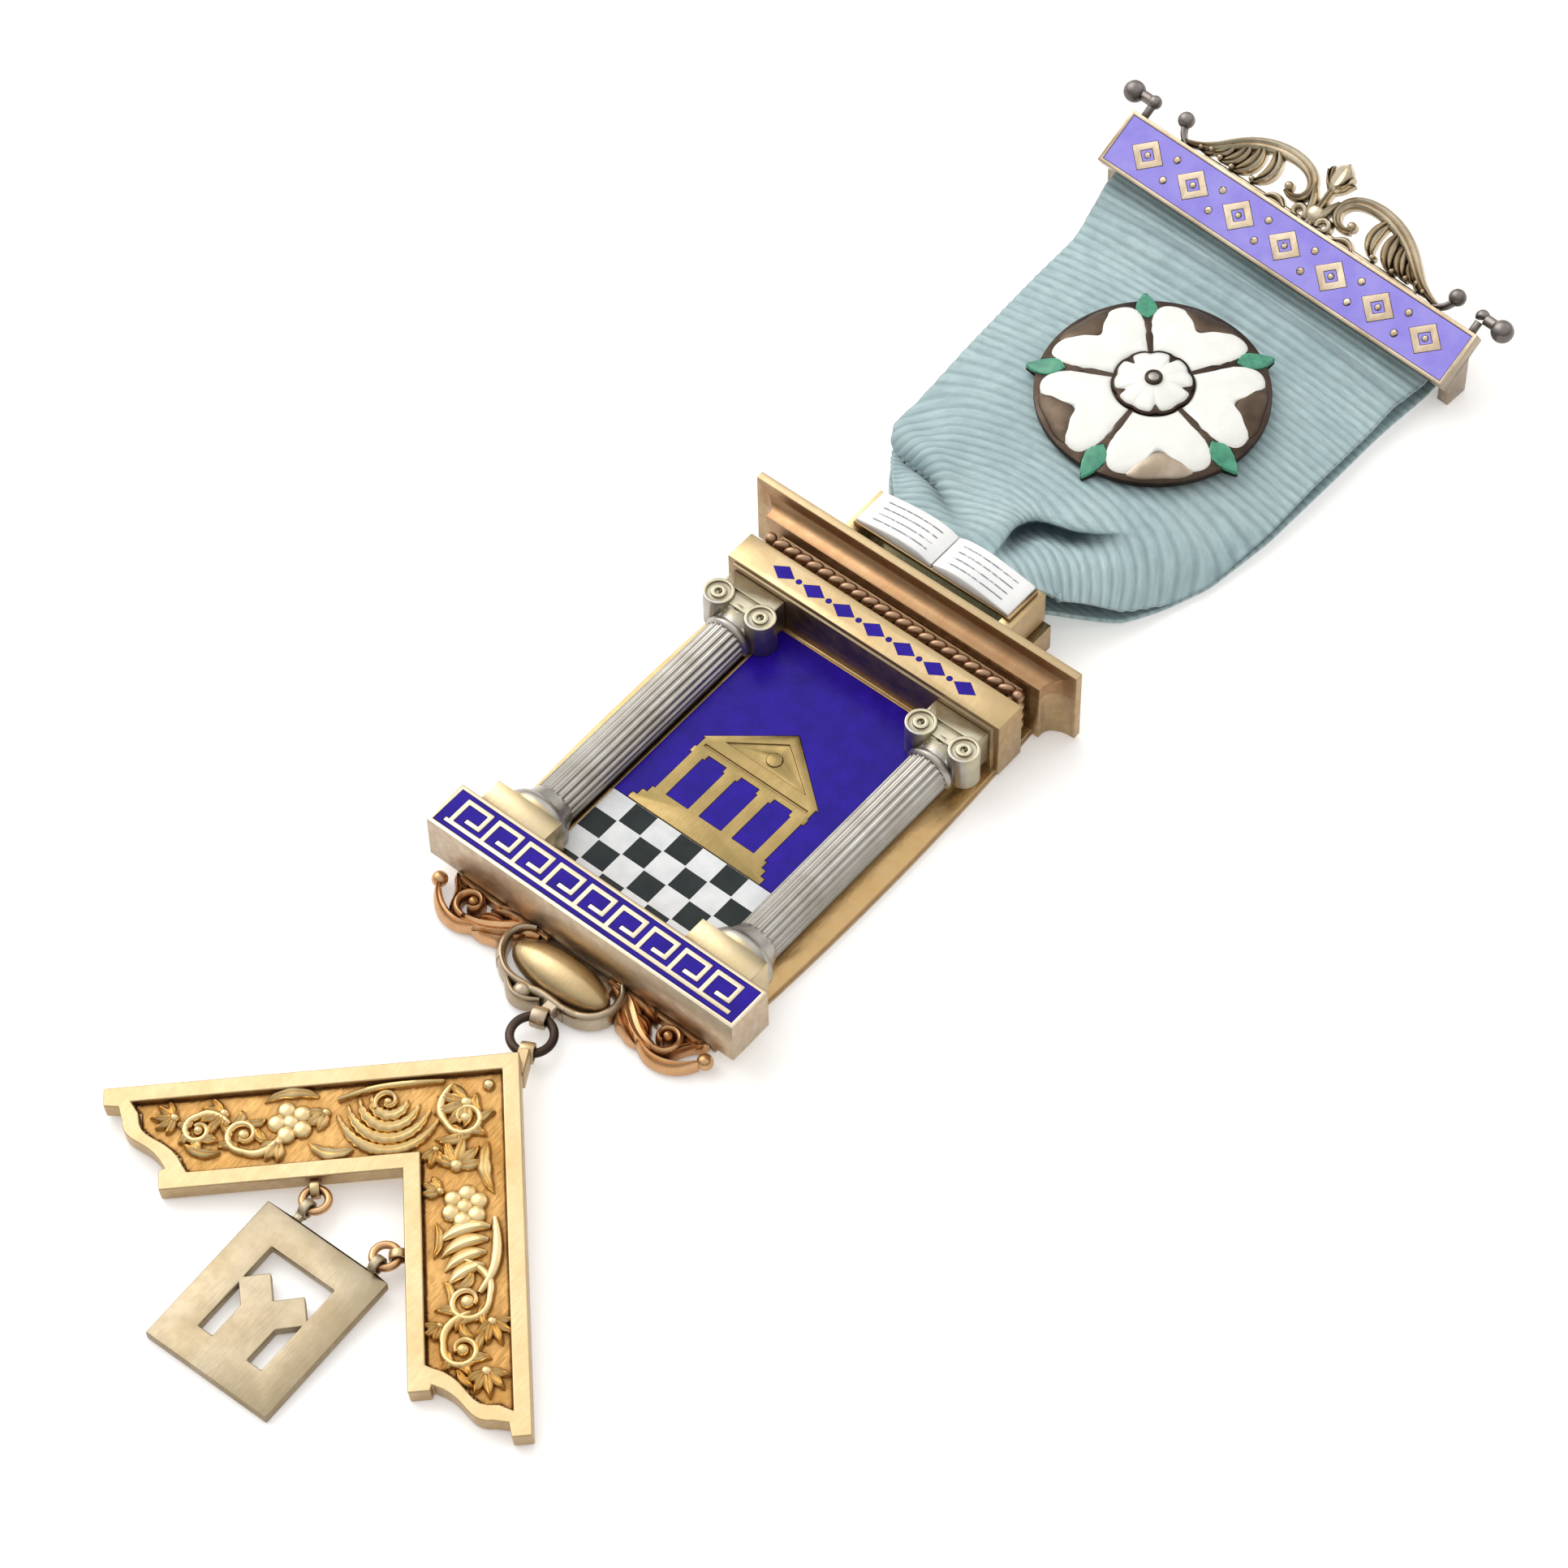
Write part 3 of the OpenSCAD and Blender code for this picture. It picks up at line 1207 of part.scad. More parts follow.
module plate() {
    color(pale_gilt) seated() difference() {
        union() {
            on_plate() slab(0, plate_t) {
                difference() {
                    rect(-plate_w / 2, -plate_h, plate_w / 2, 0);
                    rect(-plate_w / 2 + frame_w, -plate_h + frame_w, plate_w / 2 - frame_w, -frame_w);
                }
                proposition();
            }
            plate_eyelet(ring_left);
            plate_eyelet(ring_right);
        }
        plate_bore(ring_left);
        plate_bore(ring_right);
    }
}

brooch_bar();
brooch_enamel();
brooch_pin();
ribbon();
rose_setting();
rose_petal_1();
rose_petal_2();
rose_petal_3();
rose_petal_4();
rose_petal_5();
rose_heart();
rose_stud();
rose_sepal_1();
rose_sepal_2();
rose_sepal_3();
rose_sepal_4();
rose_sepal_5();
ribbon_bail();
book_cover();
page_left();
page_right();
temple_body();
column_left();
column_right();
field_enamel();
pavement_black();
pavement_white();
frieze_enamel();
bar_enamel();
drop_ornament();
boss();
jump_ring();
set_square();
plate_ring_left();
plate_ring_right();
plate();
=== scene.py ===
"""Looks of a breast jewel lying on its back: gilt temple, looped ribbon with a rose, square and plate.

Lengths are in millimetres in the jewel's own frame, whose origin is the middle of the temple's foot,
until placed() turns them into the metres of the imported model.
"""

import math

import bmesh
import bpy
import numpy as np
from mathutils import Matrix, Vector


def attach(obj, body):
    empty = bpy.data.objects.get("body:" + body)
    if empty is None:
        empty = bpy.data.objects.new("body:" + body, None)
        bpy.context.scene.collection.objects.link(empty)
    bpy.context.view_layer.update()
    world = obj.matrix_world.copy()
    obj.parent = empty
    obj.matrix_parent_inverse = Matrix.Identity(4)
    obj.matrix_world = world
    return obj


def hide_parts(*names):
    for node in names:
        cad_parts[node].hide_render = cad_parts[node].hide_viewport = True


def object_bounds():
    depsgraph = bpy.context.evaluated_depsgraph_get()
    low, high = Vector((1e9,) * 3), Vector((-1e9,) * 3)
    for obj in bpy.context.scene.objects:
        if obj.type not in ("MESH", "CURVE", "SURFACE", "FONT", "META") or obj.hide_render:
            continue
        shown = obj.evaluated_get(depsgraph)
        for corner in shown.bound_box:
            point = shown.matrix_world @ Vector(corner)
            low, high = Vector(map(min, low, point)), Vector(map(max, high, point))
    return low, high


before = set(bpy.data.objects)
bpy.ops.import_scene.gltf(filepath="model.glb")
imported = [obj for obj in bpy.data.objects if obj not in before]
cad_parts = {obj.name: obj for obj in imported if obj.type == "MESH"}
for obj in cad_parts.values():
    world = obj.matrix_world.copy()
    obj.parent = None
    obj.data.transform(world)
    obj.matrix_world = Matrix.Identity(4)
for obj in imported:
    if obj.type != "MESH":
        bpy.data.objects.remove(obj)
cad_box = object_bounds()

MM = 0.001
TEMPLE_H = 46.4
FOOT = np.array([0.0, -TEMPLE_H / 2, 0.0])


# Meshes


def placed(points):
    """Points in the jewel's millimetres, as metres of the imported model."""
    return (np.asarray(points, float) + FOOT) * MM


def piece(name, points, faces, look, node):
    """A piece from points in millimetres."""
    mesh = bpy.data.meshes.new(name)
    mesh.from_pydata(placed(points).tolist(), [], faces)
    return finished(name, mesh, look, node)


def finished(name, mesh, look, node):
    """An object of that mesh, riding on the jewel's one body in the place of a CAD node."""
    mesh.polygons.foreach_set("use_smooth", [True] * len(mesh.polygons))
    mesh.materials.clear()
    mesh.materials.append(look)
    mesh.update()
    obj = bpy.data.objects.new(name, mesh)
    bpy.context.scene.collection.objects.link(obj)
    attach(obj, "root")
    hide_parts(node)
    return obj


def grid_faces(rows, columns, wrap_rows=False, wrap_columns=False):
    """Quads of a grid of points that is stored row after row."""
    i = np.arange(rows if wrap_rows else rows - 1)[:, None]
    j = np.arange(columns if wrap_columns else columns - 1)[None, :]
    i1 = (i + 1) % rows
    j1 = (j + 1) % columns
    quads = [i * columns + j, i * columns + j1, i1 * columns + j1, i1 * columns + j]
    return np.stack([q.ravel() for q in quads], axis=1)


def dress(node, look):
    """Gives a CAD node that stays as it is its material."""
    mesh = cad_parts[node].data
    mesh.materials.clear()
    mesh.materials.append(look)


def rounded(node, look, width, steps=2, trim=None, sharp=None, name=None):
    """A copy of a CAD node with its edges rounded to that width, but for those that sharp() keeps."""
    bm = bmesh.new()
    bm.from_mesh(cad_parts[node].data)
    bmesh.ops.remove_doubles(bm, verts=bm.verts, dist=0.0005 * MM)
    if trim is not None:
        trim(bm)
    return bevelled(name or node + "_rounded", bm, look, node, width, steps, sharp=sharp)


def bevelled(name, bm, look, node, width, steps, angle=33, sharp=None):
    """A piece of that mesh, with the edges that are sharper than the angle rounded."""
    weight = bm.edges.layers.float.new("bevel_weight_edge")
    for edge in bm.edges:
        if len(edge.link_faces) == 2 and edge.calc_face_angle(0.0) > math.radians(angle):
            middle = (edge.verts[0].co + edge.verts[1].co) / 2
            kept = sharp is not None and sharp(np.array(middle) / MM - FOOT)
            edge[weight] = 0.0 if kept else 1.0
            edge.smooth = not kept
    mesh = bpy.data.meshes.new(name)
    bm.to_mesh(mesh)
    bm.free()
    obj = finished(name, mesh, look, node)
    bevel = obj.modifiers.new("edges", "BEVEL")
    bevel.width = width * MM
    bevel.segments = steps
    bevel.limit_method = "WEIGHT"
    bevel.use_clamp_overlap = False
    bevel.harden_normals = True
    return obj


# Materials


def fill(tree, node, inputs):
    """Gives inputs of a node, by name or number, a constant each or a link from another socket."""
    for key, value in inputs.items():
        if isinstance(value, bpy.types.NodeSocket):
            tree.links.new(value, node.inputs[key])
        else:
            node.inputs[key].default_value = value


def add(tree, kind, inputs=None, **settings):
    """A new node of that kind, with its settings and a dictionary of its inputs."""
    n = tree.nodes.new("ShaderNode" + kind)
    for key, value in settings.items():
        setattr(n, key, value)
    fill(tree, n, inputs or {})
    return n


def blank(name):
    """A new material, its node tree and its shader."""
    look = bpy.data.materials.new(name)
    look.use_nodes = True
    tree = look.node_tree
    return look, tree, tree.nodes["Principled BSDF"]


def in_mm(tree, stretch=(1, 1, 1)):
    """Object coordinates in millimetres, stretched."""
    place = add(tree, "TexCoord")
    return add(tree, "Mapping", {"Vector": place.outputs["Object"],
                                 "Scale": [1000 * s for s in stretch]}).outputs[0]


def noise(tree, where, scale, detail, rough=0.55):
    """Noise at a place, with so many features to the millimetre."""
    return add(tree, "TexNoise", {"Vector": where, "Scale": scale, "Detail": detail,
                                  "Roughness": rough}).outputs[0]


def remap(tree, value, low, high, to_low, to_high):
    """A value carried from one range to another, and kept in it."""
    return add(tree, "MapRange", {"Value": value, "From Min": low, "From Max": high, "To Min": to_low,
                                  "To Max": to_high}).outputs[0]


def mix(tree, share, a, b):
    """Two colours mixed, with that share of the second."""
    a, b = (c if isinstance(c, bpy.types.NodeSocket) else (*c, 1) for c in (a, b))
    return add(tree, "Mix", {0: share, 6: a, 7: b}, data_type="RGBA").outputs[2]


def calc(tree, operation, a, b=0.0):
    return add(tree, "Math", {0: a, 1: b}, operation=operation).outputs[0]


def times(tree, a, b):
    return calc(tree, "MULTIPLY", a, b)


def parts_of(tree, vector):
    """The three values of a vector."""
    return add(tree, "SeparateXYZ", {"Vector": vector}).outputs


def bump(tree, height, depth, strength=1.0, under=None):
    """A bump of that depth in millimetres."""
    inputs = {"Height": height, "Strength": strength, "Distance": depth * MM}
    if under is not None:
        inputs["Normal"] = under
    return add(tree, "Bump", inputs).outputs[0]


def occlusion(tree, reach):
    """Light that gets into hollows of that reach: 1 in the open, 0 deep inside."""
    return add(tree, "AmbientOcclusion", {"Distance": reach * MM}, samples=6).outputs["AO"]


def metal(name, light, deep, tarnish_and_shade, rough=(0.2, 0.38), reach=0.9, dirt_and_shade=0.85, side=0.45, grain=0.012,
          zones=()):
    """Worn gilding: two tones in patches, tarnished metal and painted shade in the hollows, painted shade on
    steeply standing sides, scratches, dents.

    A zone tints what lies between two values of Y and above a value of Z, in model millimetres.
    """
    look, tree, shader = blank(name)
    where = in_mm(tree)
    patches = remap(tree, noise(tree, where, 0.22, 4), 0.35, 0.65, 0.0, 1.0)
    tone = mix(tree, patches, light, deep)
    if zones:
        _, y, z = parts_of(tree, where)
        blotch = noise(tree, where, 0.5, 4)
        for low, high, above, colour, share in zones:
            zone = times(tree, remap(tree, y, low - 0.06, low + 0.06, 0, 1),
                         remap(tree, y, high - 0.06, high + 0.06, 1, 0))
            zone = times(tree, zone, remap(tree, z, above - 0.05, above + 0.05, 0, 1))
            strength = remap(tree, blotch, 0.3, 0.7, share * 0.7, share)
            tone = mix(tree, times(tree, zone, strength), tone, colour)
    # tarnish in the hollows, which is also painted shade where little light reaches
    hidden = remap(tree, occlusion(tree, reach), 0.25, 0.85, dirt_and_shade, 0.0)
    facing = parts_of(tree, add(tree, "NewGeometry").outputs["Normal"])[2]
    # painted shade: the more steeply a face stands, the darker it is painted, up to the share side
    steep_shade = remap(tree, calc(tree, "ABSOLUTE", facing), 0.25, 0.75, side, 0.0)
    grime_and_shade = calc(tree, "MAXIMUM", hidden, steep_shade)
    grime_and_shade = times(tree, grime_and_shade, remap(tree, noise(tree, where, 1.3, 3), 0.3, 0.6, 0.7, 1.0))
    worn = remap(tree, noise(tree, where, 0.9, 5), 0.35, 0.7, rough[0], rough[1])
    scratches = noise(tree, in_mm(tree, (3.0, 0.5, 3.0)), 1.2, 2)
    dents = bump(tree, noise(tree, where, 0.55, 2), 0.05, 0.6)
    fill(tree, shader, {
        "Base Color": mix(tree, grime_and_shade, tone, tarnish_and_shade),
        "Metallic": 1.0,
        "Roughness": calc(tree, "ADD", worn, times(tree, grime_and_shade, 0.25)),
        "Normal": bump(tree, scratches, grain, 1.0, dents),
    })
    return look


def enamel(name, bright, deep, rough=0.25, mottle=0.5, coat=0.15, speck=0.0, shine=0.4, ruled=None):
    """Fired enamel: glassy, faintly mottled, with a waved surface; ruled lines where it is a page."""
    look, tree, shader = blank(name)
    where = in_mm(tree)
    cloud = remap(tree, noise(tree, where, mottle, 4), 0.35, 0.65, 0.0, 1.0)
    tone = mix(tree, cloud, bright, deep)
    if speck:
        dots = remap(tree, noise(tree, where, 5.0, 2), 0.62, 0.75, 0.0, speck)
        tone = mix(tree, dots, tone, (0.02, 0.015, 0.03))
    if ruled is not None:
        tone = mix(tree, ruled(tree, where), tone, (0.10, 0.09, 0.13))
    fill(tree, shader, {
        "Base Color": tone,
        "Roughness": remap(tree, noise(tree, where, 1.7, 3), 0.3, 0.7, rough, rough + 0.12),
        "Specular IOR Level": shine,
        "Coat Weight": coat,
        "Coat Roughness": 0.1,
        "Normal": bump(tree, noise(tree, where, 0.8, 2), 0.04, 0.5),
    })
    return look


def page_lines(tree, where):
    """Share of ink of ruled lines across each page, broken where words would end."""
    x, y, _ = parts_of(tree, where)
    x = calc(tree, "ABSOLUTE", x)
    line = calc(tree, "FRACT", calc(tree, "DIVIDE", calc(tree, "SUBTRACT", y, PAGE_Y), LINE_STEP))
    ink = remap(tree, calc(tree, "ABSOLUTE", calc(tree, "SUBTRACT", line, 0.5)), 0.07, 0.13, 1, 0)
    for place, low, high, first in ((x, 1.1, 1.3, 0), (x, 7.2, 7.4, 1),
                                    (y, PAGE_Y + 0.15, PAGE_Y + 0.2, 0), (y, PAGE_Y + 3.25, PAGE_Y + 3.3, 1)):
        ink = times(tree, ink, remap(tree, place, low, high, first, 1 - first))
    return times(tree, ink, remap(tree, noise(tree, where, 2.6, 2), 0.35, 0.5, 0.25, 0.85))


def cloth(name, light, deep, hollow_shade, shadow_colour):
    """Ribbed silk, with painted shade in the valleys between the ribs. Its point attribute holds the place
    across, the place along in ribs, and a share of painted shade.
    """
    look, tree, shader = blank(name)
    weave_and_shade = add(tree, "Attribute", attribute_name="weave_and_shade", attribute_type="GEOMETRY")
    across, ribs, shadow = parts_of(tree, weave_and_shade.outputs["Vector"])
    wave = calc(tree, "COSINE", times(tree, ribs, 2 * math.pi))
    crest = add(tree, "Math", {0: wave, 1: 0.5, 2: 0.5}, operation="MULTIPLY_ADD").outputs[0]
    where = in_mm(tree)
    patches = remap(tree, noise(tree, where, 0.16, 4), 0.3, 0.7, 0.0, 1.0)
    silk = mix(tree, patches, light, deep)
    # painted shade: the valleys between the ribs darkened
    silk = mix(tree, remap(tree, crest, 0.0, 0.5, 0.32, 0.0), silk, hollow_shade)
    streaks = add(tree, "CombineXYZ", {"X": times(tree, across, 0.35), "Y": ribs}).outputs[0]
    flecks = remap(tree, noise(tree, streaks, 1.6, 4, 0.7), 0.35, 0.7, -0.12, 0.16)
    silk = add(tree, "HueSaturation", {"Color": silk, "Value": calc(tree, "ADD", flecks, 1.0)}).outputs[0]
    threads = add(tree, "CombineXYZ", {"X": times(tree, across, 2.0), "Y": times(tree, ribs, 7.0)})
    yarn = bump(tree, noise(tree, threads.outputs[0], 1.0, 2), 0.05, 0.8)
    fill(tree, shader, {
        # painted shade: the silk darkened by the shade share that the ribbon's points carry
        "Base Color": mix(tree, shadow, silk, shadow_colour),
        "Roughness": 0.62,
        "Sheen Weight": 0.35,
        "Sheen Roughness": 0.4,
        "Normal": bump(tree, crest, 0.06, 0.6, yarn),
    })
    return look


PAGE_Y, LINE_STEP = 25.2, 0.78
ENT = 14.8
# Each metal: a light and a deep tone, then the colour of its tarnished hollows, which also serves as its
# painted shade in hollows and on steep sides
GILT = ((0.62, 0.475, 0.275), (0.58, 0.425, 0.22), (0.26, 0.15, 0.08))
GOLD = metal("gilt", *GILT, rough=(0.24, 0.38))
TEMPLE = metal("temple_gilt", *GILT, rough=(0.24, 0.38), side=0.55, zones=(
    (-19.0, ENT - 0.2, -1.0, (0.60, 0.37, 0.15), 0.75),
    # painted light: the bottom bar tinted paler, so that its front side in shade reads lighter
    (-23.3, -18.6, 1.2, (0.80, 0.70, 0.55), 0.9),
    (-8.4, 6.7, 2.15, (0.29, 0.22, 0.085), 0.95),
    # painted shade: the underside beneath the frieze tinted dark grey
    (ENT - 0.2, ENT + 0.28, 4.0, (0.30, 0.25, 0.17), 0.9),
    (ENT + 3.5, ENT + 5.7, 6.0, (0.40, 0.235, 0.165), 0.9),
    (ENT + 5.7, ENT + 7.6, 6.0, (0.38, 0.19, 0.09), 0.85),
    (ENT + 7.6, ENT + 8.6, 6.0, (0.55, 0.42, 0.25), 0.7),
))
RELIEF = metal("relief_gilt", (0.90, 0.70, 0.38), (0.80, 0.56, 0.24), (0.36, 0.18, 0.05), rough=(0.16, 0.28),
               reach=0.35, dirt_and_shade=0.8, side=0.0)
PALE = metal("pale_gilt", (0.58, 0.56, 0.52), (0.45, 0.42, 0.37), (0.18, 0.14, 0.10), rough=(0.26, 0.4),
             side=0.3, zones=(
    (-19.0, -15.6, 0.0, (0.74, 0.58, 0.31), 0.9),
    (11.0, 16.0, 0.0, (0.60, 0.54, 0.36), 0.8),
))
PLATE = metal("matte_gilt", (0.52, 0.44, 0.31), (0.44, 0.35, 0.22), (0.18, 0.12, 0.07), rough=(0.38, 0.5),
              grain=0.02)
ROSY = metal("rose_gilt", (0.74, 0.46, 0.25), (0.62, 0.35, 0.16), (0.16, 0.06, 0.025), rough=(0.22, 0.36),
             side=0.2)
# the stippled ground is darkened far into its corners: tarnish, and painted shade near the walls and foliage
GROUND = metal("stippled_gilt", (0.56, 0.33, 0.12), (0.44, 0.23, 0.065), (0.12, 0.04, 0.012),
               rough=(0.3, 0.46), reach=1.3, dirt_and_shade=0.95, grain=0.05)
SILVER = metal("worn_silver_gilt", (0.62, 0.52, 0.39), (0.44, 0.34, 0.24), (0.06, 0.045, 0.03),
               reach=0.6, dirt_and_shade=0.95, side=0.3)
CREST = metal("crest_gilt", (0.78, 0.68, 0.51), (0.48, 0.38, 0.26), (0.04, 0.028, 0.02),
              rough=(0.2, 0.34), reach=0.45, dirt_and_shade=1.0, side=0.1)
KNOB = metal("dark_silver", (0.34, 0.30, 0.28), (0.22, 0.195, 0.185), (0.03, 0.025, 0.02), rough=(0.22, 0.36))
DARK = metal("tarnished", (0.10, 0.072, 0.055), (0.05, 0.035, 0.028), (0.015, 0.01, 0.01), rough=(0.3, 0.5))
# The rose's lips in brown metal: a darkened copy as painted shade, and a paler copy as painted light for the
# one lip that the light falls on
SHADED_LIP = metal("shaded_brown_metal", (0.165, 0.125, 0.09), (0.09, 0.062, 0.045), (0.02, 0.015, 0.01),
            rough=(0.36, 0.5))
LIT_LIP = metal("lit_lip_metal", (0.66, 0.58, 0.48), (0.40, 0.32, 0.24), (0.05, 0.035, 0.025),
                 rough=(0.28, 0.4))
GREY = metal("grey_metal", (0.42, 0.42, 0.38), (0.30, 0.29, 0.26), (0.05, 0.045, 0.04), rough=(0.3, 0.45))
BLUE = enamel("royal_blue_enamel", (0.022, 0.004, 0.34), (0.014, 0.002, 0.25), rough=0.2, coat=0.0, speck=0.4,
              shine=0.16)
LILAC = enamel("lilac_enamel", (0.28, 0.23, 0.80), (0.35, 0.30, 0.84), mottle=0.35)
WHITE = enamel("white_enamel", (0.93, 0.93, 0.89), (0.87, 0.87, 0.82), rough=0.2)
FLOOR = enamel("floor_enamel", (0.78, 0.79, 0.80), (0.66, 0.68, 0.70), rough=0.2)
PAGE = enamel("page_enamel", (0.93, 0.93, 0.92), (0.86, 0.87, 0.88), rough=0.3, ruled=page_lines)
BLACK = enamel("black_enamel", (0.010, 0.015, 0.016), (0.017, 0.026, 0.026), coat=0.0, shine=0.2)
GREEN = enamel("green_enamel", (0.06, 0.36, 0.20), (0.03, 0.22, 0.14), mottle=1.1, coat=0.5)
# the third colour paints shade in the rib valleys, the fourth paints the shadow in the tuck and the creases
SILK = cloth("ribbed_silk", (0.45, 0.58, 0.60), (0.34, 0.475, 0.50), (0.08, 0.15, 0.17), (0.012, 0.04, 0.055))


# Planes and carved bands


def turn(axis, degrees):
    """Matrix of a turn about an axis."""
    return np.array(Matrix.Rotation(math.radians(degrees), 3, axis))


def on_plane(plane, points):
    """Points of a plane, given by its axes and origin, in the jewel's frame."""
    axes, origin = plane
    return np.asarray(points, float) @ axes.T + np.asarray(origin, float)


def ray(degrees, r=1.0):
    """The point at that angle and distance, or a row of points."""
    a = np.radians(degrees)
    return np.stack([r * np.cos(a), r * np.sin(a)], axis=-1)


def unit(vectors):
    """The vectors at length 1."""
    return vectors / np.linalg.norm(vectors, axis=-1, keepdims=True)


def way_along(points):
    """How far along a line each of its points lies."""
    return np.concatenate([[0], np.cumsum(np.linalg.norm(np.diff(points, axis=0), axis=1))])


def clip01(value):
    """A value kept between 0 and 1."""
    return np.clip(value, 0, 1)


def curve(a, b, c, d, n=10):
    """Points on a cubic curve from a to d."""
    t = np.linspace(0, 1, n + 1)[:, None]
    a, b, c, d = (np.array(q, float) for q in (a, b, c, d))
    return (1 - t) ** 3 * a + 3 * (1 - t) ** 2 * t * b + 3 * (1 - t) * t * t * c + t ** 3 * d


def spiral(centre, r0, r1, a0, a1, n=16):
    """Points on a spiral from radius r0 at angle a0 to radius r1 at angle a1."""
    t = np.linspace(0, 1, n + 1)
    return np.array(centre) + ray(a0 + (a1 - a0) * t, r0 + (r1 - r0) * t)


def along(points, n):
    """A smooth line of n + 1 evenly spread points through those points."""
    points = np.asarray(points, float)
    for _ in range(2):
        middle = (points[:-1] + points[1:]) / 2
        inner = (middle[:-1] + 2 * points[1:-1] + middle[1:]) / 4
        rows = [points[0]]
        for k in range(len(middle)):
            rows.append(middle[k])
            if k < len(inner):
                rows.append(inner[k])
        points = np.array(rows + [points[-1]])
    s = way_along(points)
    at = np.linspace(0, s[-1], n + 1)
    return np.stack([np.interp(at, s, points[:, k]) for k in (0, 1)], axis=1)


class Carving:
    """Domed bands, leaves and balls gathered into one mesh on a plane."""

    def __init__(self, plane, low, edge, top, lift=None):
        self.plane = plane
        self.low, self.edge, self.top = low, edge, top
        self.lift = lift
        self.points, self.faces = [], []

    def take(self, points, faces):
        """Adds a mesh, raised by the height that the ground under it has."""
        points = np.asarray(points, float)
        if self.lift is not None:
            points[:, 2] += self.lift(points[:, 0], points[:, 1])
        start = sum(len(p) for p in self.points)
        self.points.append(on_plane(self.plane, points))
        self.faces += [[start + k for k in face] for face in faces]

    def band(self, path, widths, high=1.0, lobes=0, vein=0.0, n=26, across=8):
        """A band along a path, widths at its start, middle and end, with a lobed rim and a sunk vein."""
        path = along(path, n)
        t = np.linspace(0, 1, n + 1)
        w0, w1, w2 = widths
        half = (w0 * (1 - t) + w2 * t + 4 * (w1 - (w0 + w2) / 2) * t * (1 - t)) / 2
        if lobes:
            half = half * (1 + 0.28 * (np.abs(np.sin(np.pi * lobes * t)) - 0.6))
        d = np.gradient(path, axis=0)
        side = unit(np.stack([-d[:, 1], d[:, 0]], axis=1))
        u = np.cos(np.linspace(0, np.pi, across + 1))
        crown = (self.top - self.edge) * high
        dome = (1 - u * u) ** 0.6
        groove = vein * np.exp(-(u / 0.22) ** 2)
        size = np.clip(half / (half.max() * 0.6), 0.25, 1)[:, None]
        z = self.edge + crown * (dome - groove)[None, :] * size
        xy = path[:, None, :] + side[:, None, :] * (half[:, None] * u[None, :])[..., None]
        top = np.concatenate([xy, z[..., None]], axis=2)
        under = np.concatenate([xy[:, [-1, 0]], np.full((n + 1, 2, 1), self.low)], axis=2)
        ring = np.concatenate([top, under], axis=1)
        m = ring.shape[1]
        faces = grid_faces(n + 1, m, wrap_columns=True).tolist()
        faces.append(list(range(m)))
        faces.append([n * m + k for k in range(m - 1, -1, -1)])
        self.take(ring.reshape(-1, 3), faces)

    def leaf(self, a, b, bend, width, high=1.0, lobes=0, vein=0.45, n=14):
        """A pointed band between two points, bent to the left of them."""
        a, b = np.array(a, float), np.array(b, float)
        d = b - a
        side = np.array([-d[1], d[0]]) * bend
        path = curve(a, a + d / 3 + side, b - d / 3 + side, b, 8)
        self.band(path, (width * 0.3, width, 0.1), high, lobes, vein, n)

    def ball(self, at, r, high=None):
        """A dome on the plane, or a whole ball where high gives the height of its middle."""
        if high is None:
            rows, last, middle, tall = 6, 90, self.edge, (self.top - self.edge) * 1.1
        else:
            rows, last, middle, tall = 10, 180, high, r
        n = 16
        q = np.radians(np.linspace(0, last, rows + 1))[1:, None]
        t = np.radians(np.arange(n) * 360 / n)[None, :]
        shell = np.stack([at[0] + r * np.sin(q) * np.cos(t), at[1] + r * np.sin(q) * np.sin(t),
                          middle + tall * np.cos(q) + 0 * t], axis=-1)
        if high is None:
            shell = footed(shell, self.low)
        self.take(*capped(shell, [at[0], at[1], middle + tall], 1))

    def piece(self, name, look, slot, node, sharp=40):
        """The carving as a piece, with edges over that angle shaded sharp."""
        mesh = bpy.data.meshes.new(name)
        mesh.from_pydata(placed(np.concatenate(self.points)).tolist(), [], self.faces)
        bm = bmesh.new()
        bm.from_mesh(mesh)
        bmesh.ops.recalc_face_normals(bm, faces=bm.faces)
        bm.to_mesh(mesh)
        bm.free()
        obj = finished(name, mesh, look, node)
        mesh.set_sharp_from_angle(angle=math.radians(sharp))
        return obj


def capped(shell, apex, way=-1):
    """Points and faces of a stack of rings, closed by a fan to its apex and by its last ring.

    The way is the one round the corners of the faces between the rings: 1 or -1.
    """
    rows, n = shell.shape[:2]
    points = np.concatenate([shell.reshape(-1, 3), [apex]])
    faces = [f[::way] for f in grid_faces(rows, n, wrap_columns=True).tolist()]
    faces += [[len(points) - 1, k, (k + 1) % n] for k in range(n)]
    faces.append([(rows - 1) * n + k for k in range(n - 1, -1, -1)])
    return points, faces


def footed(shell, z):
    """A stack of rings with its last ring repeated at that height."""
    foot = shell[-1:].copy()
    foot[..., 2] = z
    return np.concatenate([shell, foot])


def inside(points, outline):
    """Which of the points lie inside a closed outline."""
    x, y = points[..., 0], points[..., 1]
    within = np.zeros(x.shape, bool)
    for (x0, y0), (x1, y1) in zip(outline, np.roll(outline, -1, axis=0)):
        if y0 != y1:
            crosses = ((y0 > y) != (y1 > y)) & (x < (x1 - x0) * (y - y0) / (y1 - y0) + x0)
            within ^= crosses
    return within


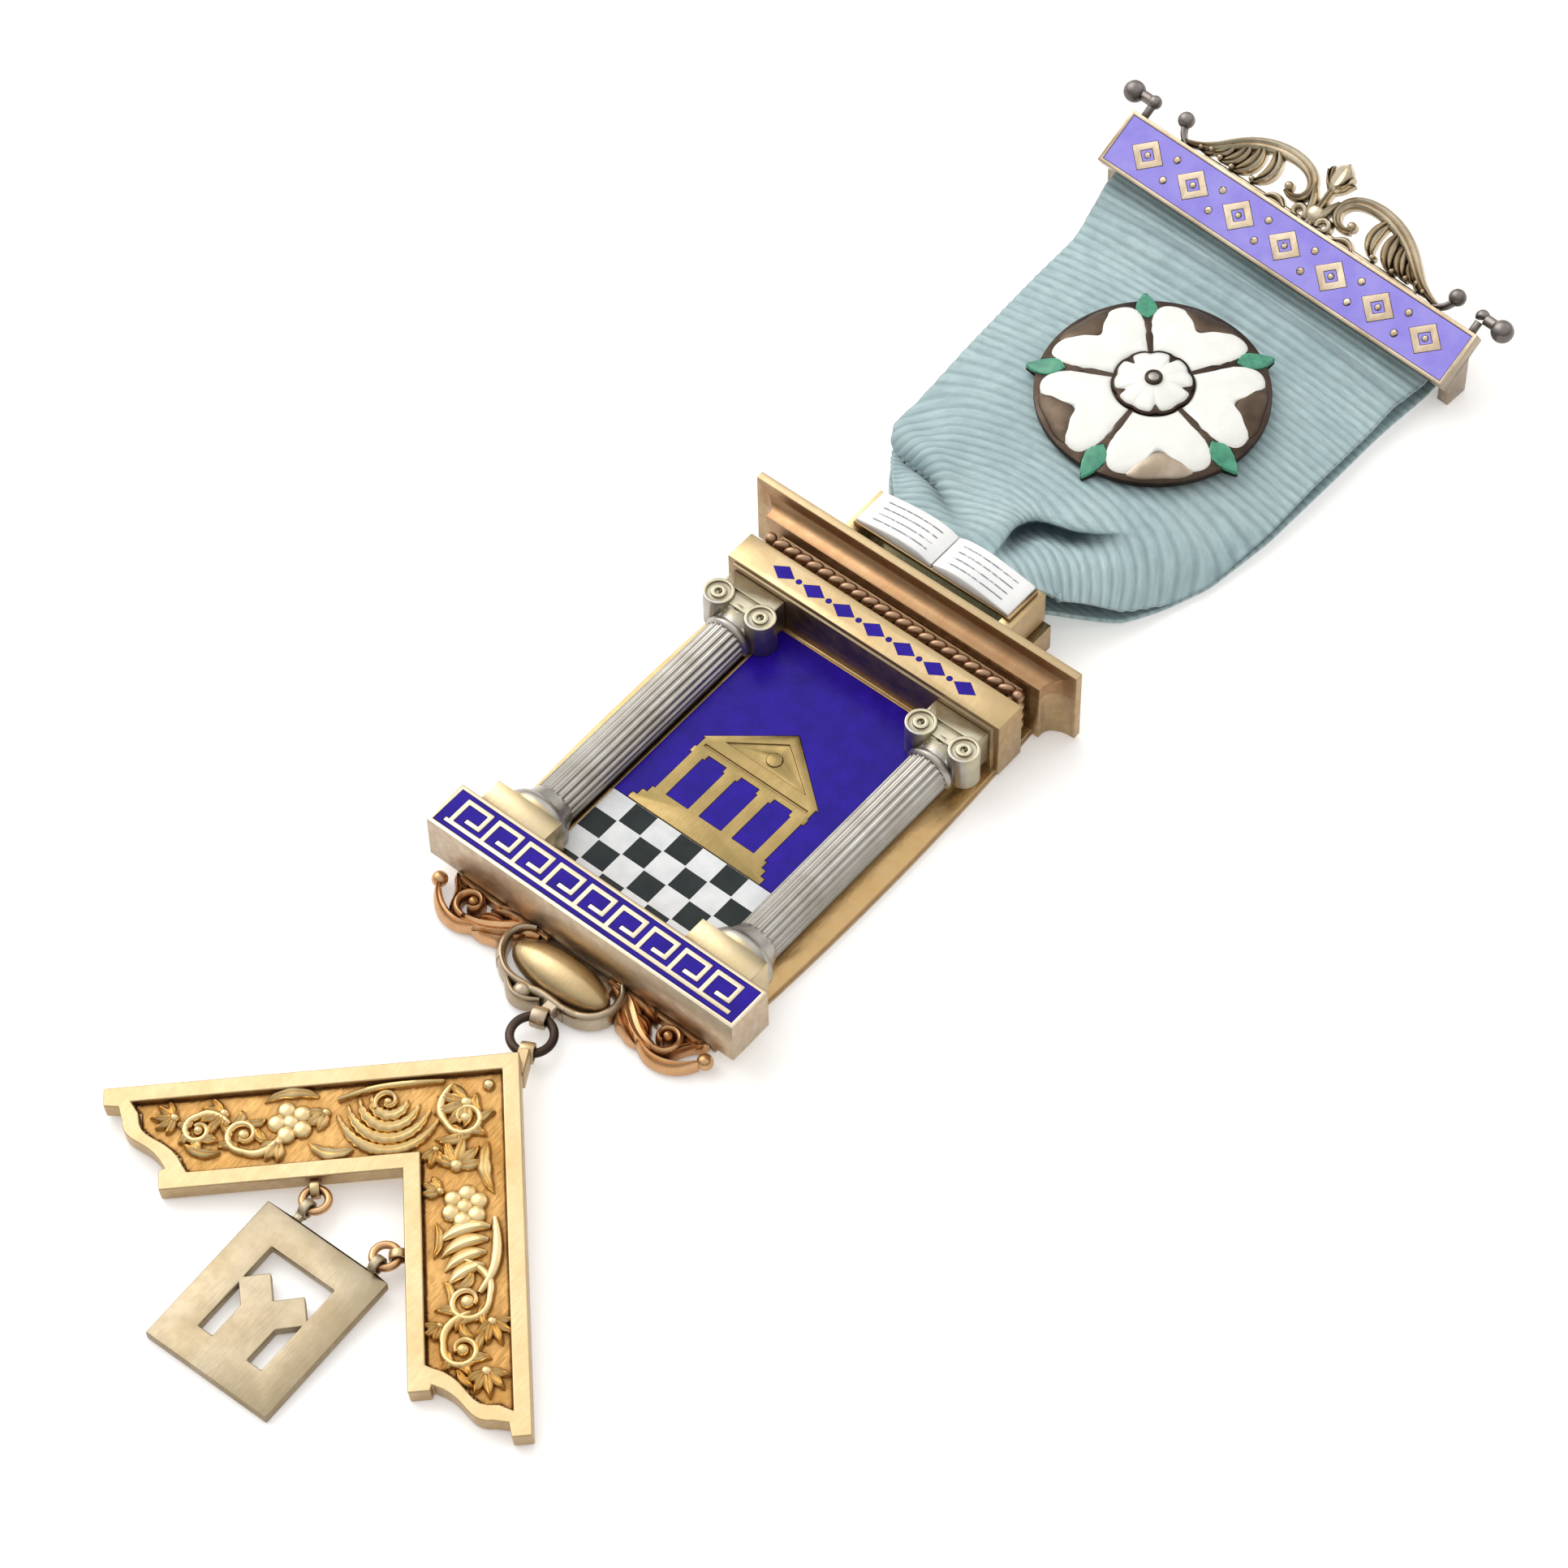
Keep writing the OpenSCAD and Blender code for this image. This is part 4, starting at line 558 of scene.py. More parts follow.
def without(plane, test):
    """A trim for rounded(): deletes faces whose middle passes the test on a plane, and fills the holes."""
    axes, origin = plane

    def trim(bm):
        middles = np.array([f.calc_center_median() for f in bm.faces]) / MM - FOOT
        gone = test((middles - np.asarray(origin, float)) @ axes)
        bmesh.ops.delete(bm, geom=[f for f, g in zip(list(bm.faces), gone) if g], context="FACES")
        rims = [e for e in bm.edges if e.is_boundary]
        filled = bmesh.ops.holes_fill(bm, edges=rims, sides=0)["faces"]
        bmesh.ops.triangulate(bm, faces=filled)

    return trim


# Temple, columns, book

for node, look in (
    ("brooch_enamel", LILAC),
    ("field_enamel", BLUE),
    ("bar_enamel", BLUE),
    ("frieze_enamel", BLUE),
    ("pavement_black", BLACK),
    ("pavement_white", FLOOR),
):
    dress(node, look)


# Beads under the cornice: radius, place of the row, its half length and number of steps, and how much
# a bead is leaned and widened
BEAD_R, BEAD_Y, BEAD_Z = 0.6, 42.603, 6.393
BEAD_REACH, BEAD_STEPS = 14.008, 22
BEAD_LEAN, BEAD_WIDER = 0.62, 0.12


def twisted(bm):
    """Leans the beads, so that they read as the strands of a twisted moulding."""
    step = 2 * BEAD_REACH / BEAD_STEPS
    for v in bm.verts:
        p = np.array(v.co) / MM - FOOT
        k = round((p[0] + BEAD_REACH) / step)
        x = k * step - BEAD_REACH
        if 0 < k < BEAD_STEPS and math.dist(p, (x, BEAD_Y, BEAD_Z)) < BEAD_R + 0.01:
            v.co.x += ((p[1] - BEAD_Y) * BEAD_LEAN + (p[0] - x) * BEAD_WIDER) * MM


def frieze_mark(p):
    """Whether a point lies at the edge of a mark let into the frieze."""
    return 38.35 < p[1] < 41.4 and abs(p[0]) < 13.5 and p[2] > 6.5


rounded("temple_body", TEMPLE, 0.07, trim=twisted, sharp=frieze_mark)
for side in ("left", "right"):
    rounded("column_" + side, PALE, 0.05)
    rounded("page_" + side, PAGE, 0.12)
    rounded("plate_ring_" + side, ROSY, 0.02)
rounded("ribbon_bail", GOLD, 0.12)
rounded("book_cover", GOLD, 0.08)


BOSS_GROWTH = (1.12, 1.10, 1.0)
BOSS_DROP = 0.1


def fuller(bm):
    """Grows the boss to the size it has between its straps."""
    points = np.array([v.co for v in bm.verts])
    middle = (points.min(0) + points.max(0)) / 2
    for v in bm.verts:
        v.co = Vector(middle + (np.array(v.co) - middle) * BOSS_GROWTH - (0, BOSS_DROP * MM, 0))


rounded("boss", GOLD, 0.06, trim=fuller)
rounded("jump_ring", DARK, 0.02)
rounded("plate", PLATE, 0.12)


# Brooch bar and crest

SWING = -3.56
BAR_TILT = 30.0
BAR_PLANE = (turn("Z", SWING) @ turn("X", BAR_TILT), (0.29, 97.52, 4.12))
BROOCH_H = 5.8
KNOBS_FROM = 17.6
CREST_MID = np.array([0.4, BROOCH_H, 0.0])


def brooch():
    """The bar without its crest and knobs, which are carved anew, and its outer knobs in their own metal."""

    def over_bar(p):
        return p[:, 1] > BROOCH_H + 0.003

    rounded("brooch_bar", SILVER, 0.06, trim=without(BAR_PLANE, over_bar))
    rounded("brooch_bar", KNOB, 0.05, name="brooch_knobs", trim=without(
        BAR_PLANE, lambda p: ~(over_bar(p) & (np.abs(p[:, 0]) >= KNOBS_FROM))))
    rounded("brooch_pin", SILVER, 0.05)
    axes, origin = BAR_PLANE
    for s, name in ((1, "right"), (-1, "left")):
        plane = (axes @ np.diag([s, 1, 1]), axes @ CREST_MID + origin)
        half = Carving(plane, -1.3, -0.72, -0.05)
        half.band([[15.6, 0.2], [14.1, 0.5], [12.5, 1.2], [11.0, 2.45], [9.4, 3.6], [7.5, 4.4], [5.5, 4.75],
                   [3.6, 4.6], [2.3, 3.95], [1.65, 2.85], [2.0, 1.75], [3.0, 1.25], [3.95, 1.6]],
                  (0.4, 1.45, 0.55), vein=0.4, n=60)
        half.ball([3.8, 2.05], 0.5)
        for a, b, bend, width, high in (
            ([11.9, 1.8], [13.3, 0.35], -0.2, 0.8, 0.6),
            ([10.7, 2.8], [12.3, 0.7], -0.2, 1.1, 0.8),
            ([9.5, 3.6], [11.1, 0.5], -0.26, 1.3, 0.95),
            ([8.3, 4.1], [9.6, 0.35], -0.28, 1.5, 1.05),
            ([6.9, 4.4], [7.2, 0.45], -0.32, 1.45, 1.15),
        ):
            half.leaf(a, b, bend, width, high, vein=0.6, n=20)
            half.ball([b[0] + 0.1, b[1] + 0.25], 0.34)
        half.band(spiral([1.5, 0.55], 0.75, 0.4, 205, -110, 14), (0.5, 0.7, 0.4), n=22)
        half.band([[0.45, 0.3], [0.7, 1.5], [1.0, 2.4], [1.5, 3.3]], (0.6, 0.9, 0.5), vein=0.3, n=12)
        half.leaf([0.15, 3.6], [1.7, 5.4], 0.2, 1.25)
        half.band([[3.0, 0.1], [3.9, 0.75], [4.8, 0.6], [5.3, -0.1]], (0.4, 0.6, 0.3), high=0.7, n=12)
        half.band([[0.0, 0.05], [6.0, 0.02], [12.7, 0.02]], (0.66, 0.66, 0.5), high=0.4, n=10)
        half.piece("crest_" + name, CREST, "pale_gilt_metal", "brooch_bar")
        knob = Carving(plane, -1.3, -0.72, -0.1)
        knob.band([[14.9, 0.0], [15.8, 0.55], [16.1, 1.1], [16.4, 1.7]], (0.5, 0.55, 0.6), high=0.6, n=10)
        knob.ball([16.4, 1.95], 0.85, high=-0.72)
        knob.piece("knob_" + name, KNOB, "pale_gilt_metal", "brooch_bar")
    bud = Carving((axes, axes @ CREST_MID + origin), -1.3, -0.78, -0.02)
    bud.band([[0, 0.0], [0, 2.0], [0, 4.2]], (1.3, 0.8, 0.9), vein=0.35, n=12)
    bud.ball([0, 1.2], 1.0)
    bud.band([[0, 3.7], [0, 5.2], [0, 6.9]], (0.9, 2.6, 0.05), high=1.25, vein=0.3, n=14)
    bud.leaf([0.0, 4.0], [1.15, 6.0], -0.2, 0.75, 1.35)
    bud.leaf([0.0, 4.0], [-1.15, 6.0], 0.2, 0.75, 1.35)
    bud.piece("crest_bud", CREST, "pale_gilt_metal", "brooch_bar")


brooch()


# Rose

ROSE_R = 10.9
ROSE_AXES = turn("Z", 94.7)
ROSE_AT = (1.5, 78.5, 4.35)
HEART_R = 0.338 * ROSE_R
ROSE_LOW, ROSE_DOME = 0.8, 1.1
ROSE_ROWS = np.array([[0, 1], [0.34, 1], [0.62, 0.86], [0.86, 0.52], [0.96, 0.16], [1.12, -0.12]])


def rose_surface(x, y):
    """Height of the rose's face over its back."""
    fine = np.linspace(0, ROSE_ROWS[-1, 0], 113)
    rows = np.interp(fine, ROSE_ROWS[:, 0], ROSE_ROWS[:, 1])
    soft = np.convolve(np.pad(rows, 6, mode="edge"), np.ones(13) / 13, "valid")
    return ROSE_LOW + ROSE_DOME * np.interp(np.hypot(x, y) / ROSE_R, fine, soft)


def petal(k):
    """A heart-shaped pool of enamel, crowned in the middle and rolled over at its rim."""
    span = 35.0
    a = np.linspace(-span, span, 61)
    b = np.abs(a) / span
    r = ROSE_R * (0.968 - 0.26 * np.exp(-a * a / 120) - 0.25 * b ** 10)
    rim = np.concatenate([ray(a, r), ray(np.linspace(35.5, -35.5, 15), HEART_R + 0.05)])
    rows = np.linspace(0, 1, 9)[1:] ** 0.8
    middle = np.array([0.64 * ROSE_R, 0.0])
    xy = middle + (rim - middle)[None] * rows[:, None, None]
    swell = 0.10 + 0.16 * (1 - rows ** 4) - 0.22 * clip01((rows - 0.85) / 0.15) ** 2
    top = np.concatenate([xy, (rose_surface(xy[..., 0], xy[..., 1]) + swell[:, None])[..., None]], axis=2)
    shell = footed(top, rose_surface(xy[-1:, :, 0], xy[-1:, :, 1]) - 0.3)
    points, faces = capped(shell, [*middle, float(rose_surface(*middle)) + 0.26])
    plane = (ROSE_AXES @ turn("Z", 72.0 * k), ROSE_AT)
    name = "petal_%d" % (k + 1)
    piece(name, on_plane(plane, points), faces, WHITE, "rose_" + name)


def rose():
    """Setting, petals, lips, sepals and the small inner rose with its stud."""
    rounded("rose_setting", DARK, 0.05)
    lips = Carving((ROSE_AXES, ROSE_AT), -0.45, -0.02, 0.30, rose_surface)
    lit_lip = Carving((ROSE_AXES, ROSE_AT), -0.45, -0.02, 0.30, rose_surface)
    for k in range(5):
        petal(k)
        path = [ray(72 * k + d, r) for d, r in (
            (-17, 10.3), (-12, 9.95), (-6, 9.3), (0, 9.0), (6, 9.3), (12, 9.95), (17, 10.3))]
        # the fourth lip is painted light, the others painted shade
        (lit_lip if k == 3 else lips).band(path, (0.25, 2.7, 0.25), n=24, across=10)
        rounded("rose_sepal_%d" % (k + 1), GREEN, 0.1, 3)
    lips.piece("rose_lips", SHADED_LIP, "dark_metal", "rose_setting")
    lit_lip.piece("rose_lit_lip", LIT_LIP, "dark_metal", "rose_setting")

    def lobed(name, grow, notch, low, rise, look):
        """The inner rose's disc, notched at the petals' axes and dented between them."""
        n, rows = 120, 8
        a = (np.arange(n) * 360 / n)[None, :]
        off = (a + 36) % 72 - 36

        def dent(width):
            return 0.05 * np.exp(-((np.abs(off) - 36) / width) ** 2)

        rim = HEART_R * (1.0 - notch * np.exp(-(off / 5.0) ** 2) - dent(8.0)) + grow
        q = np.linspace(0, 1, rows + 1)[1:, None]
        z = low + rise * (1 - q ** 3.0) - dent(3.0) * clip01((q - 0.35) * 3)
        shell = np.concatenate([ray(a + 0 * q, rim * q), z[..., None]], axis=-1)
        points, faces = capped(footed(shell, 1.9), [0, 0, low + rise])
        piece(name, on_plane((ROSE_AXES, ROSE_AT), points), faces, look, "rose_heart")

    lobed("heart_outline", 0.11, 0.05, 2.2, 0.1, DARK)
    lobed("heart_enamel", -0.12, 0.22, 2.22, 0.5, WHITE)
    rounded("rose_stud", GREY, 0.06)
    ring = Carving((ROSE_AXES, ROSE_AT), 2.3, 2.95, 3.08)
    ring.band([ray(a, 0.66) for a in range(0, 361, 15)], (0.34, 0.34, 0.34), n=40)
    ring.piece("stud_ring", DARK, "dark_metal", "rose_heart")


rose()


# Lower ornament

DROP_LOW = 0.36
DROP_EYE = (1.45, -6.85)
EYE_Z = 1.6
FLAT = (np.eye(3), (0.0, 0.0, 0.0))


def eyelet(made, at, height, turned, r, bore, length):
    """A short rod with a bore, lying at an angle on the plane."""
    rows, columns = 28, 12
    t = np.radians(np.arange(rows) * 360 / rows)[:, None]
    q = np.radians(np.arange(columns) * 360 / columns)[None, :]
    out = (r + bore) / 2 + (r - bore) / 2 * np.sign(np.cos(q)) * np.abs(np.cos(q)) ** 0.6
    on_rod = length / 2 * np.sign(np.sin(q)) * np.abs(np.sin(q)) ** 0.5
    c, s = ray(turned)
    side = out * np.cos(t)
    x, y, z = at[0] + on_rod * c - side * s, at[1] + on_rod * s + side * c, height + out * np.sin(t)
    made.take(np.stack([x, y, z], axis=-1).reshape(-1, 3),
              grid_faces(rows, columns, wrap_rows=True, wrap_columns=True).tolist())


def slab(made, x0, y0, x1, y1, z0, z1):
    """A bevelled bar between two corners."""
    e = min(0.12, (z1 - z0) / 3)
    rows = [(0, z0), (0, z1 - e), (e, z1)]
    points = []
    for inset, z in rows:
        near, far, left, right = x0 + inset, x1 - inset, y0 + inset, y1 - inset
        points += [(near, left, z), (far, left, z), (far, right, z), (near, right, z)]
    faces = grid_faces(3, 4, wrap_columns=True).tolist() + [[3, 2, 1, 0], [8, 9, 10, 11]]
    made.take(points, faces)


def drop():
    """Foliage at both sides, and the straps and eyelet round the boss."""
    for s, name in ((1, "right"), (-1, "left")):
        side = Carving((np.diag([s, 1, 1]), (0, 0, 0)), DROP_LOW, 0.95, 1.86)
        side.band(curve([4.2, -0.2], [6.6, -0.1], [7.6, -3.3], [11.2, -3.05], 10), (1.3, 2.0, 0.8), 0.8,
                  vein=0.35, n=28)
        side.leaf([5.2, -0.9], [9.3, -3.6], -0.12, 1.3, 1.0, lobes=3)
        side.leaf([6.0, 0.0], [9.4, -0.9], 0.14, 1.2, 0.9, lobes=2)
        side.leaf([7.4, -1.4], [9.6, -2.2], 0.25, 0.8, 0.9)
        side.band(spiral([11.0, -1.5], 1.55, 0.55, -100, 265, 18), (0.8, 0.85, 0.5), 1.0, n=34)
        side.ball([11.0, -1.35], 0.55)
        side.band(curve([9.2, -3.1], [11.0, -4.5], [13.5, -3.7], [14.7, -1.7], 8), (0.5, 1.05, 0.5), 0.9,
                  vein=0.25, n=20)
        side.leaf([12.3, -2.9], [14.0, -0.2], 0.2, 0.8, 0.9)
        side.leaf([12.2, -0.6], [14.2, 0.3], -0.2, 0.9, 0.8)
        side.ball([15.0, -1.2], 0.75, high=1.11)
        slab(side, 3.4, -0.35, 13.6, 0.45, DROP_LOW, 1.55)
        side.piece("foliage_" + name, ROSY, "rose_gilt_metal", "drop_ornament")
    straps = Carving(FLAT, DROP_LOW, 1.35, 2.14)
    for widths, high, n, path in (
        ((0.6, 0.95, 0.9), 1.0, 20, [[-4.7, -0.15], [-6.0, -0.7], [-6.35, -2.2], [-5.9, -3.6], [-5.1, -4.4]]),
        ((0.8, 0.9, 0.9), 1.0, 18, [[-5.6, -3.9], [-4.4, -5.0], [-2.9, -5.3], [-1.6, -5.1], [-0.9, -5.2]]),
        ((0.9, 1.0, 0.9), 1.0, 16, [[-1.5, -5.3], [-0.2, -4.9], [1.2, -4.95], [2.7, -5.05]]),
        ((0.9, 1.05, 0.7), 1.0, 26, [[2.1, -5.0], [3.9, -4.9], [5.4, -3.8], [5.9, -2.2], [5.6, -0.8],
                                     [4.9, -0.1]]),
        ((0.5, 0.8, 0.5), 0.9, 16, [[-3.4, -5.6], [-2.5, -6.3], [-1.6, -6.5], [-0.6, -6.2], [0.3, -5.6]]),
    ):
        straps.band(path, widths, high, n=n)
    straps.ball([-1.6, -5.7], 0.95, high=DROP_LOW + 1.0)
    slab(straps, -4.2, -3.6, 4.2, 0.3, DROP_LOW, 1.0)
    slab(straps, 0.85, -6.2, 2.05, -4.9, DROP_LOW + 0.3, 1.96)
    eyelet(straps, DROP_EYE, EYE_Z, 19.4, 0.98, 0.58, 1.4)
    straps.piece("drop_straps", SILVER, "rose_gilt_metal", "drop_ornament")


drop()


# Square

SQUARE_L, ARM_W, BORDER, SQUARE_T, GROUND_D = 35.2, 10.05, 1.5, 1.8, 0.7
ARM_END = 4.7
SQUARE_TILT, SQUARE_TURN = 6.2, -2.4
TILT_COS, TILT_SIN = ray(SQUARE_TILT)
CORNER_Z = (SQUARE_L - ARM_END + ARM_W) / math.sqrt(2) * TILT_SIN + SQUARE_T * TILT_COS + 0.05
# from the drop's eyelet to the middle of the jump ring, and on to the square's
LINK = 1.84
LUG_TURN = -61.0
CORNER_EYE = DROP_EYE + ray(-70.6, LINK) + ray(LUG_TURN, LINK)
LUG_PLACE = 17.5
SQUARE_AXES = turn("X", SQUARE_TILT) @ turn("Z", SQUARE_TURN) @ turn("Z", -45.0) @ np.diag([1, -1, 1])
SQUARE_AT = (CORNER_EYE[0] + 0.95, CORNER_EYE[1] - 1.85, CORNER_Z)


def recess(grow):
    """Outline of one arm's sunk ground, grown a little under the border."""
    e, b = SQUARE_L, BORDER - grow
    wave = curve([e - 1.6 - b, 3.6], [e - 1.9 - b, 5.3], [e - 4.3 - b, 5.2], [e - 5.3 - b, 8.0], 8)
    return np.array([[b, b], [e - 0.9 - b, b], [e - 1.5 - b, 2.6], *wave, [e - 5.6 - b, ARM_W - b],
                     [b, ARM_W - b]])


def scroll(made, at, r, turned, hand):
    """A spiral stem with leaves springing from it."""
    flip = -1 if hand else 1
    c, s = ray(turned)
    m = np.array([[c, -s], [s, c]]) @ np.diag([1, flip])

    def put_at(q):
        return np.asarray(q, float) @ m.T + at

    made.band(put_at(spiral([0, 0], r, 0.34 * r, -100, 300, 18)), (0.75, 0.7, 0.45), 0.9, n=30)
    made.ball(put_at([0, 0]), 0.34 * r)
    for a in range(-80, 200, 56):
        made.leaf(put_at(ray(a, 0.8 * r)), put_at(ray(a + 46, 1.5 * r)), 0.26 * flip, 0.95, 1.0)
    stem = curve(ray(-100, r), [-0.9 * r, -1.25 * r], [-1.6 * r, -0.8 * r], [-2.0 * r, 0.1 * r], 7)
    made.band(put_at(stem), (0.7, 0.85, 0.4), 0.85, n=14)


def palm(made, at, r, turned, lobes=5):
    """A palmate leaf."""
    spread, bend = 34, 0.05
    half = (lobes - 1) / 2
    for k in range(lobes):
        i = k - half
        tip = at + ray(turned + spread * i, r * (1 - 0.10 * abs(i)))
        made.leaf(at, tip, bend * i, 0.44 * r * 5 / (lobes + 1), 1.0)
    made.ball(at, 0.22 * r)


def berries(made, at, count, first, ring, middle):
    """A ring of balls round a middle one."""
    for k in range(count):
        made.ball(at + ray(360 / count * k + first, ring), 0.86)
    made.ball(at, middle)


def square():
    """The frame with its eyelets, the sunk ground, and the foliage on it."""
    plane = (SQUARE_AXES, SQUARE_AT)
    e = SQUARE_L
    wave = curve([e - 1.6, 3.6], [e - 1.9, 5.6], [e - 4.0, 5.2], [e - 5.2, 8.05], 9)
    arm = np.array([[0, 0], [e, 0], [e, 1.7], [e - 1.3, 1.9], [e - 1.6, 3.2], *wave, [e - ARM_END, 8.2],
                    [e - ARM_END, ARM_W], [ARM_W, ARM_W]])
    outer = np.concatenate([arm, arm[-2:0:-1, ::-1]])
    sunk = recess(0)[:-1]
    sunk = np.concatenate([sunk, [[ARM_W - BORDER, ARM_W - BORDER]], sunk[:0:-1, ::-1]])
    bm = bmesh.new()

    def corners(outline, z):
        return [bm.verts.new(q) for q in placed(on_plane(plane, [[*q, z] for q in outline]))]

    def walls(low, high):
        for k in range(len(low)):
            n = (k + 1) % len(low)
            bm.faces.new((low[k], low[n], high[n], high[k]))

    rim, well = corners(outer, 0), corners(sunk, 0)
    floor, back = corners(sunk, -GROUND_D), corners(outer, -SQUARE_T)
    walls(back, rim)
    walls(well, floor)
    bm.faces.new(floor)
    bm.faces.new(back)
    face_edges = [bm.edges.get((a, b)) for ring in (rim, well) for a, b in zip(ring, ring[1:] + ring[:1])]
    bmesh.ops.triangle_fill(bm, edges=face_edges, use_beauty=True)
    bmesh.ops.recalc_face_normals(bm, faces=bm.faces)
    bevelled("square_frame", bm, GOLD, "set_square", 0.14, 3, 40)

    lugs = Carving((turn("Z", LUG_TURN), (*CORNER_EYE, 0.0)), 0, 0, 0)
    slab(lugs, 0.68, -0.5, 3.28, 0.5, 1.2, CORNER_Z - SQUARE_T + 0.3)
    eyelet(lugs, (0, 0), EYE_Z, 90, 0.98, 0.58, 1.3)
    lugs.piece("corner_lug", GOLD, "gilt_metal", "set_square")
    rise = (LUG_PLACE + ARM_W) / math.sqrt(2) * TILT_SIN
    for k, axes in enumerate((SQUARE_AXES, SQUARE_AXES[:, [1, 0, 2]])):
        lug = Carving((axes, SQUARE_AT), 0, 0, 0)
        eyelet(lug, (LUG_PLACE, ARM_W + 0.62), 1.65 - CORNER_Z + rise, 0, 0.86, 0.56, 0.8)
        lug.piece("inner_lug_%d" % (k + 1), GOLD, "gilt_metal", "set_square")

    # the sunk ground: a grid of cells with uneven heights, closed by a flat back
    x, y = np.meshgrid(*[np.arange(1.2, SQUARE_L - 1.4, 0.28)] * 2, indexing="ij")
    spots = np.stack([x, y], axis=-1)
    within = inside(spots, recess(0.08)) | inside(spots, recess(0.08)[:, ::-1])
    rng = np.random.default_rng(7)
    z = -GROUND_D + 0.05 + 0.09 * rng.random(x.shape)
    i, j = np.nonzero(within[:-1, :-1] & within[1:, :-1] & within[:-1, 1:] & within[1:, 1:])
    used = np.zeros(x.shape, bool)
    for dx, dy in ((0, 0), (0, 1), (1, 0), (1, 1)):
        used[i + dx, j + dy] = True
    number = np.zeros(x.shape, int)
    number[used] = np.arange(used.sum())
    top = np.stack([x[used], y[used], z[used]], axis=1)
    under = top.copy()
    under[:, 2] = -GROUND_D - 0.05
    quads = np.stack([number[i, j], number[i + 1, j], number[i + 1, j + 1], number[i, j + 1]], axis=1)
    faces = quads.tolist() + (quads[:, ::-1] + len(top)).tolist()
    edges = dict.fromkeys((q[k - 1], q[k]) for q in quads.tolist() for k in (1, 2, 3, 0))
    faces += [[a, a + len(top), b + len(top), b] for a, b in edges if (b, a) not in edges]
    ground = Carving(plane, 0, 0, 0)
    ground.take(np.concatenate([top, under]), faces)
    ground.piece("square_ground", GROUND, "gilt_metal", "set_square", 180)

    made = Carving(plane, -GROUND_D - 0.05, -0.52, -0.02)
    # the arm along X, from the corner outwards
    made.ball([2.7, 2.7], 0.55)
    scroll(made, [5.6, 4.7], 1.7, -20, 1)
    palm(made, [8.4, 7.3], 1.7, 20, 3)
    palm(made, [10.0, 5.6], 2.9, 195)
    made.leaf([8.0, 2.9], [12.9, 2.5], 0.15, 1.25, lobes=3)
    berries(made, [13.9, 5.0], 6, 10, 1.25, 0.8)
    palm(made, [12.3, 7.0], 1.8, 120, 3)
    made.leaf([15.2, 7.4], [18.4, 7.7], -0.15, 0.9)
    for k in range(4):
        made.leaf([15.9 + 1.15 * k, 2.9 + 0.2 * k], [17.1 + 1.3 * k, 7.3 - 0.25 * k], 0.2, 1.35, 1.0,
                  vein=0.25)
    made.band([[15.2, 2.5], [17.6, 2.3], [20.2, 2.7], [21.9, 4.0]], (0.6, 1.1, 0.5), n=18)
    scroll(made, [22.6, 5.0], 1.9, 0, 0)
    palm(made, [24.6, 3.0], 2.3, -20)
    scroll(made, [26.9, 5.5], 1.7, 10, 1)
    palm(made, [29.0, 3.6], 2.5, -5)
    palm(made, [24.6, 7.3], 1.6, 60, 3)
    made.leaf([28.6, 6.0], [30.4, 4.6], 0.15, 0.9)
    # the arm along Y: curls, a shell of nested arcs round a volute, a flower, leaves
    palm(made, [4.2, 4.6], 2.9, 75)
    made.leaf([7.0, 4.2], [7.4, 7.4], -0.15, 1.1)
    for k, r in enumerate((1.5, 2.5, 3.5, 4.5)):
        arc = ray(90 - np.linspace(-14 + 9 * k, 168 - 5 * k, 15), r)
        made.band([3.1, 11.0] + arc * [1.1, 1.02], (0.3, 1.15, 0.3), lobes=7 + 3 * k, vein=0.3, n=44)
    made.band(spiral([3.5, 11.2], 1.15, 0.35, 60, 400, 16), (0.55, 0.6, 0.4), 1.1, n=26)
    made.ball([3.5, 11.2], 0.4)
    made.band([[2.0, 6.4], [1.9, 9.0], [2.0, 12.6], [2.9, 15.4]], (0.4, 0.7, 0.4), n=20)
    made.leaf([7.6, 14.2], [6.6, 18.0], -0.25, 1.3, lobes=3)
    palm(made, [4.0, 16.4], 2.0, 60, 3)
    berries(made, [4.6, 19.4], 5, 20, 1.2, 0.78)
    palm(made, [6.4, 20.4], 2.0, 40, 3)
    made.leaf([2.4, 17.0], [2.5, 21.6], 0.2, 1.1, lobes=3)
    scroll(made, [5.4, 23.4], 1.6, 100, 0)
    palm(made, [3.2, 25.0], 2.2, 75)
    scroll(made, [4.6, 27.2], 1.35, 80, 1)
    palm(made, [3.2, 29.2], 2.1, 95)
    made.leaf([6.8, 25.4], [5.6, 28.6], -0.2, 1.0)
    made.piece("square_foliage", RELIEF, "gilt_metal", "set_square")


square()


# Ribbon

RUN = 49.0
WIDE = 38.0
BAIL_Y = 51.6
BAIL_Z = 5.1
PUFF_Z = 3.75
ROD_Z = 1.6
FOLD_R = 0.58
BAIL_R = 0.85
ROD_R = 0.5
SHEET = 0.4
HALF_WALL = 0.5
RIB = 1.0
RIB_HIGH, RIB_SUNK = 0.12, 0.07
BACK_Z = 0.52
EDGE_DROOP = 1.7

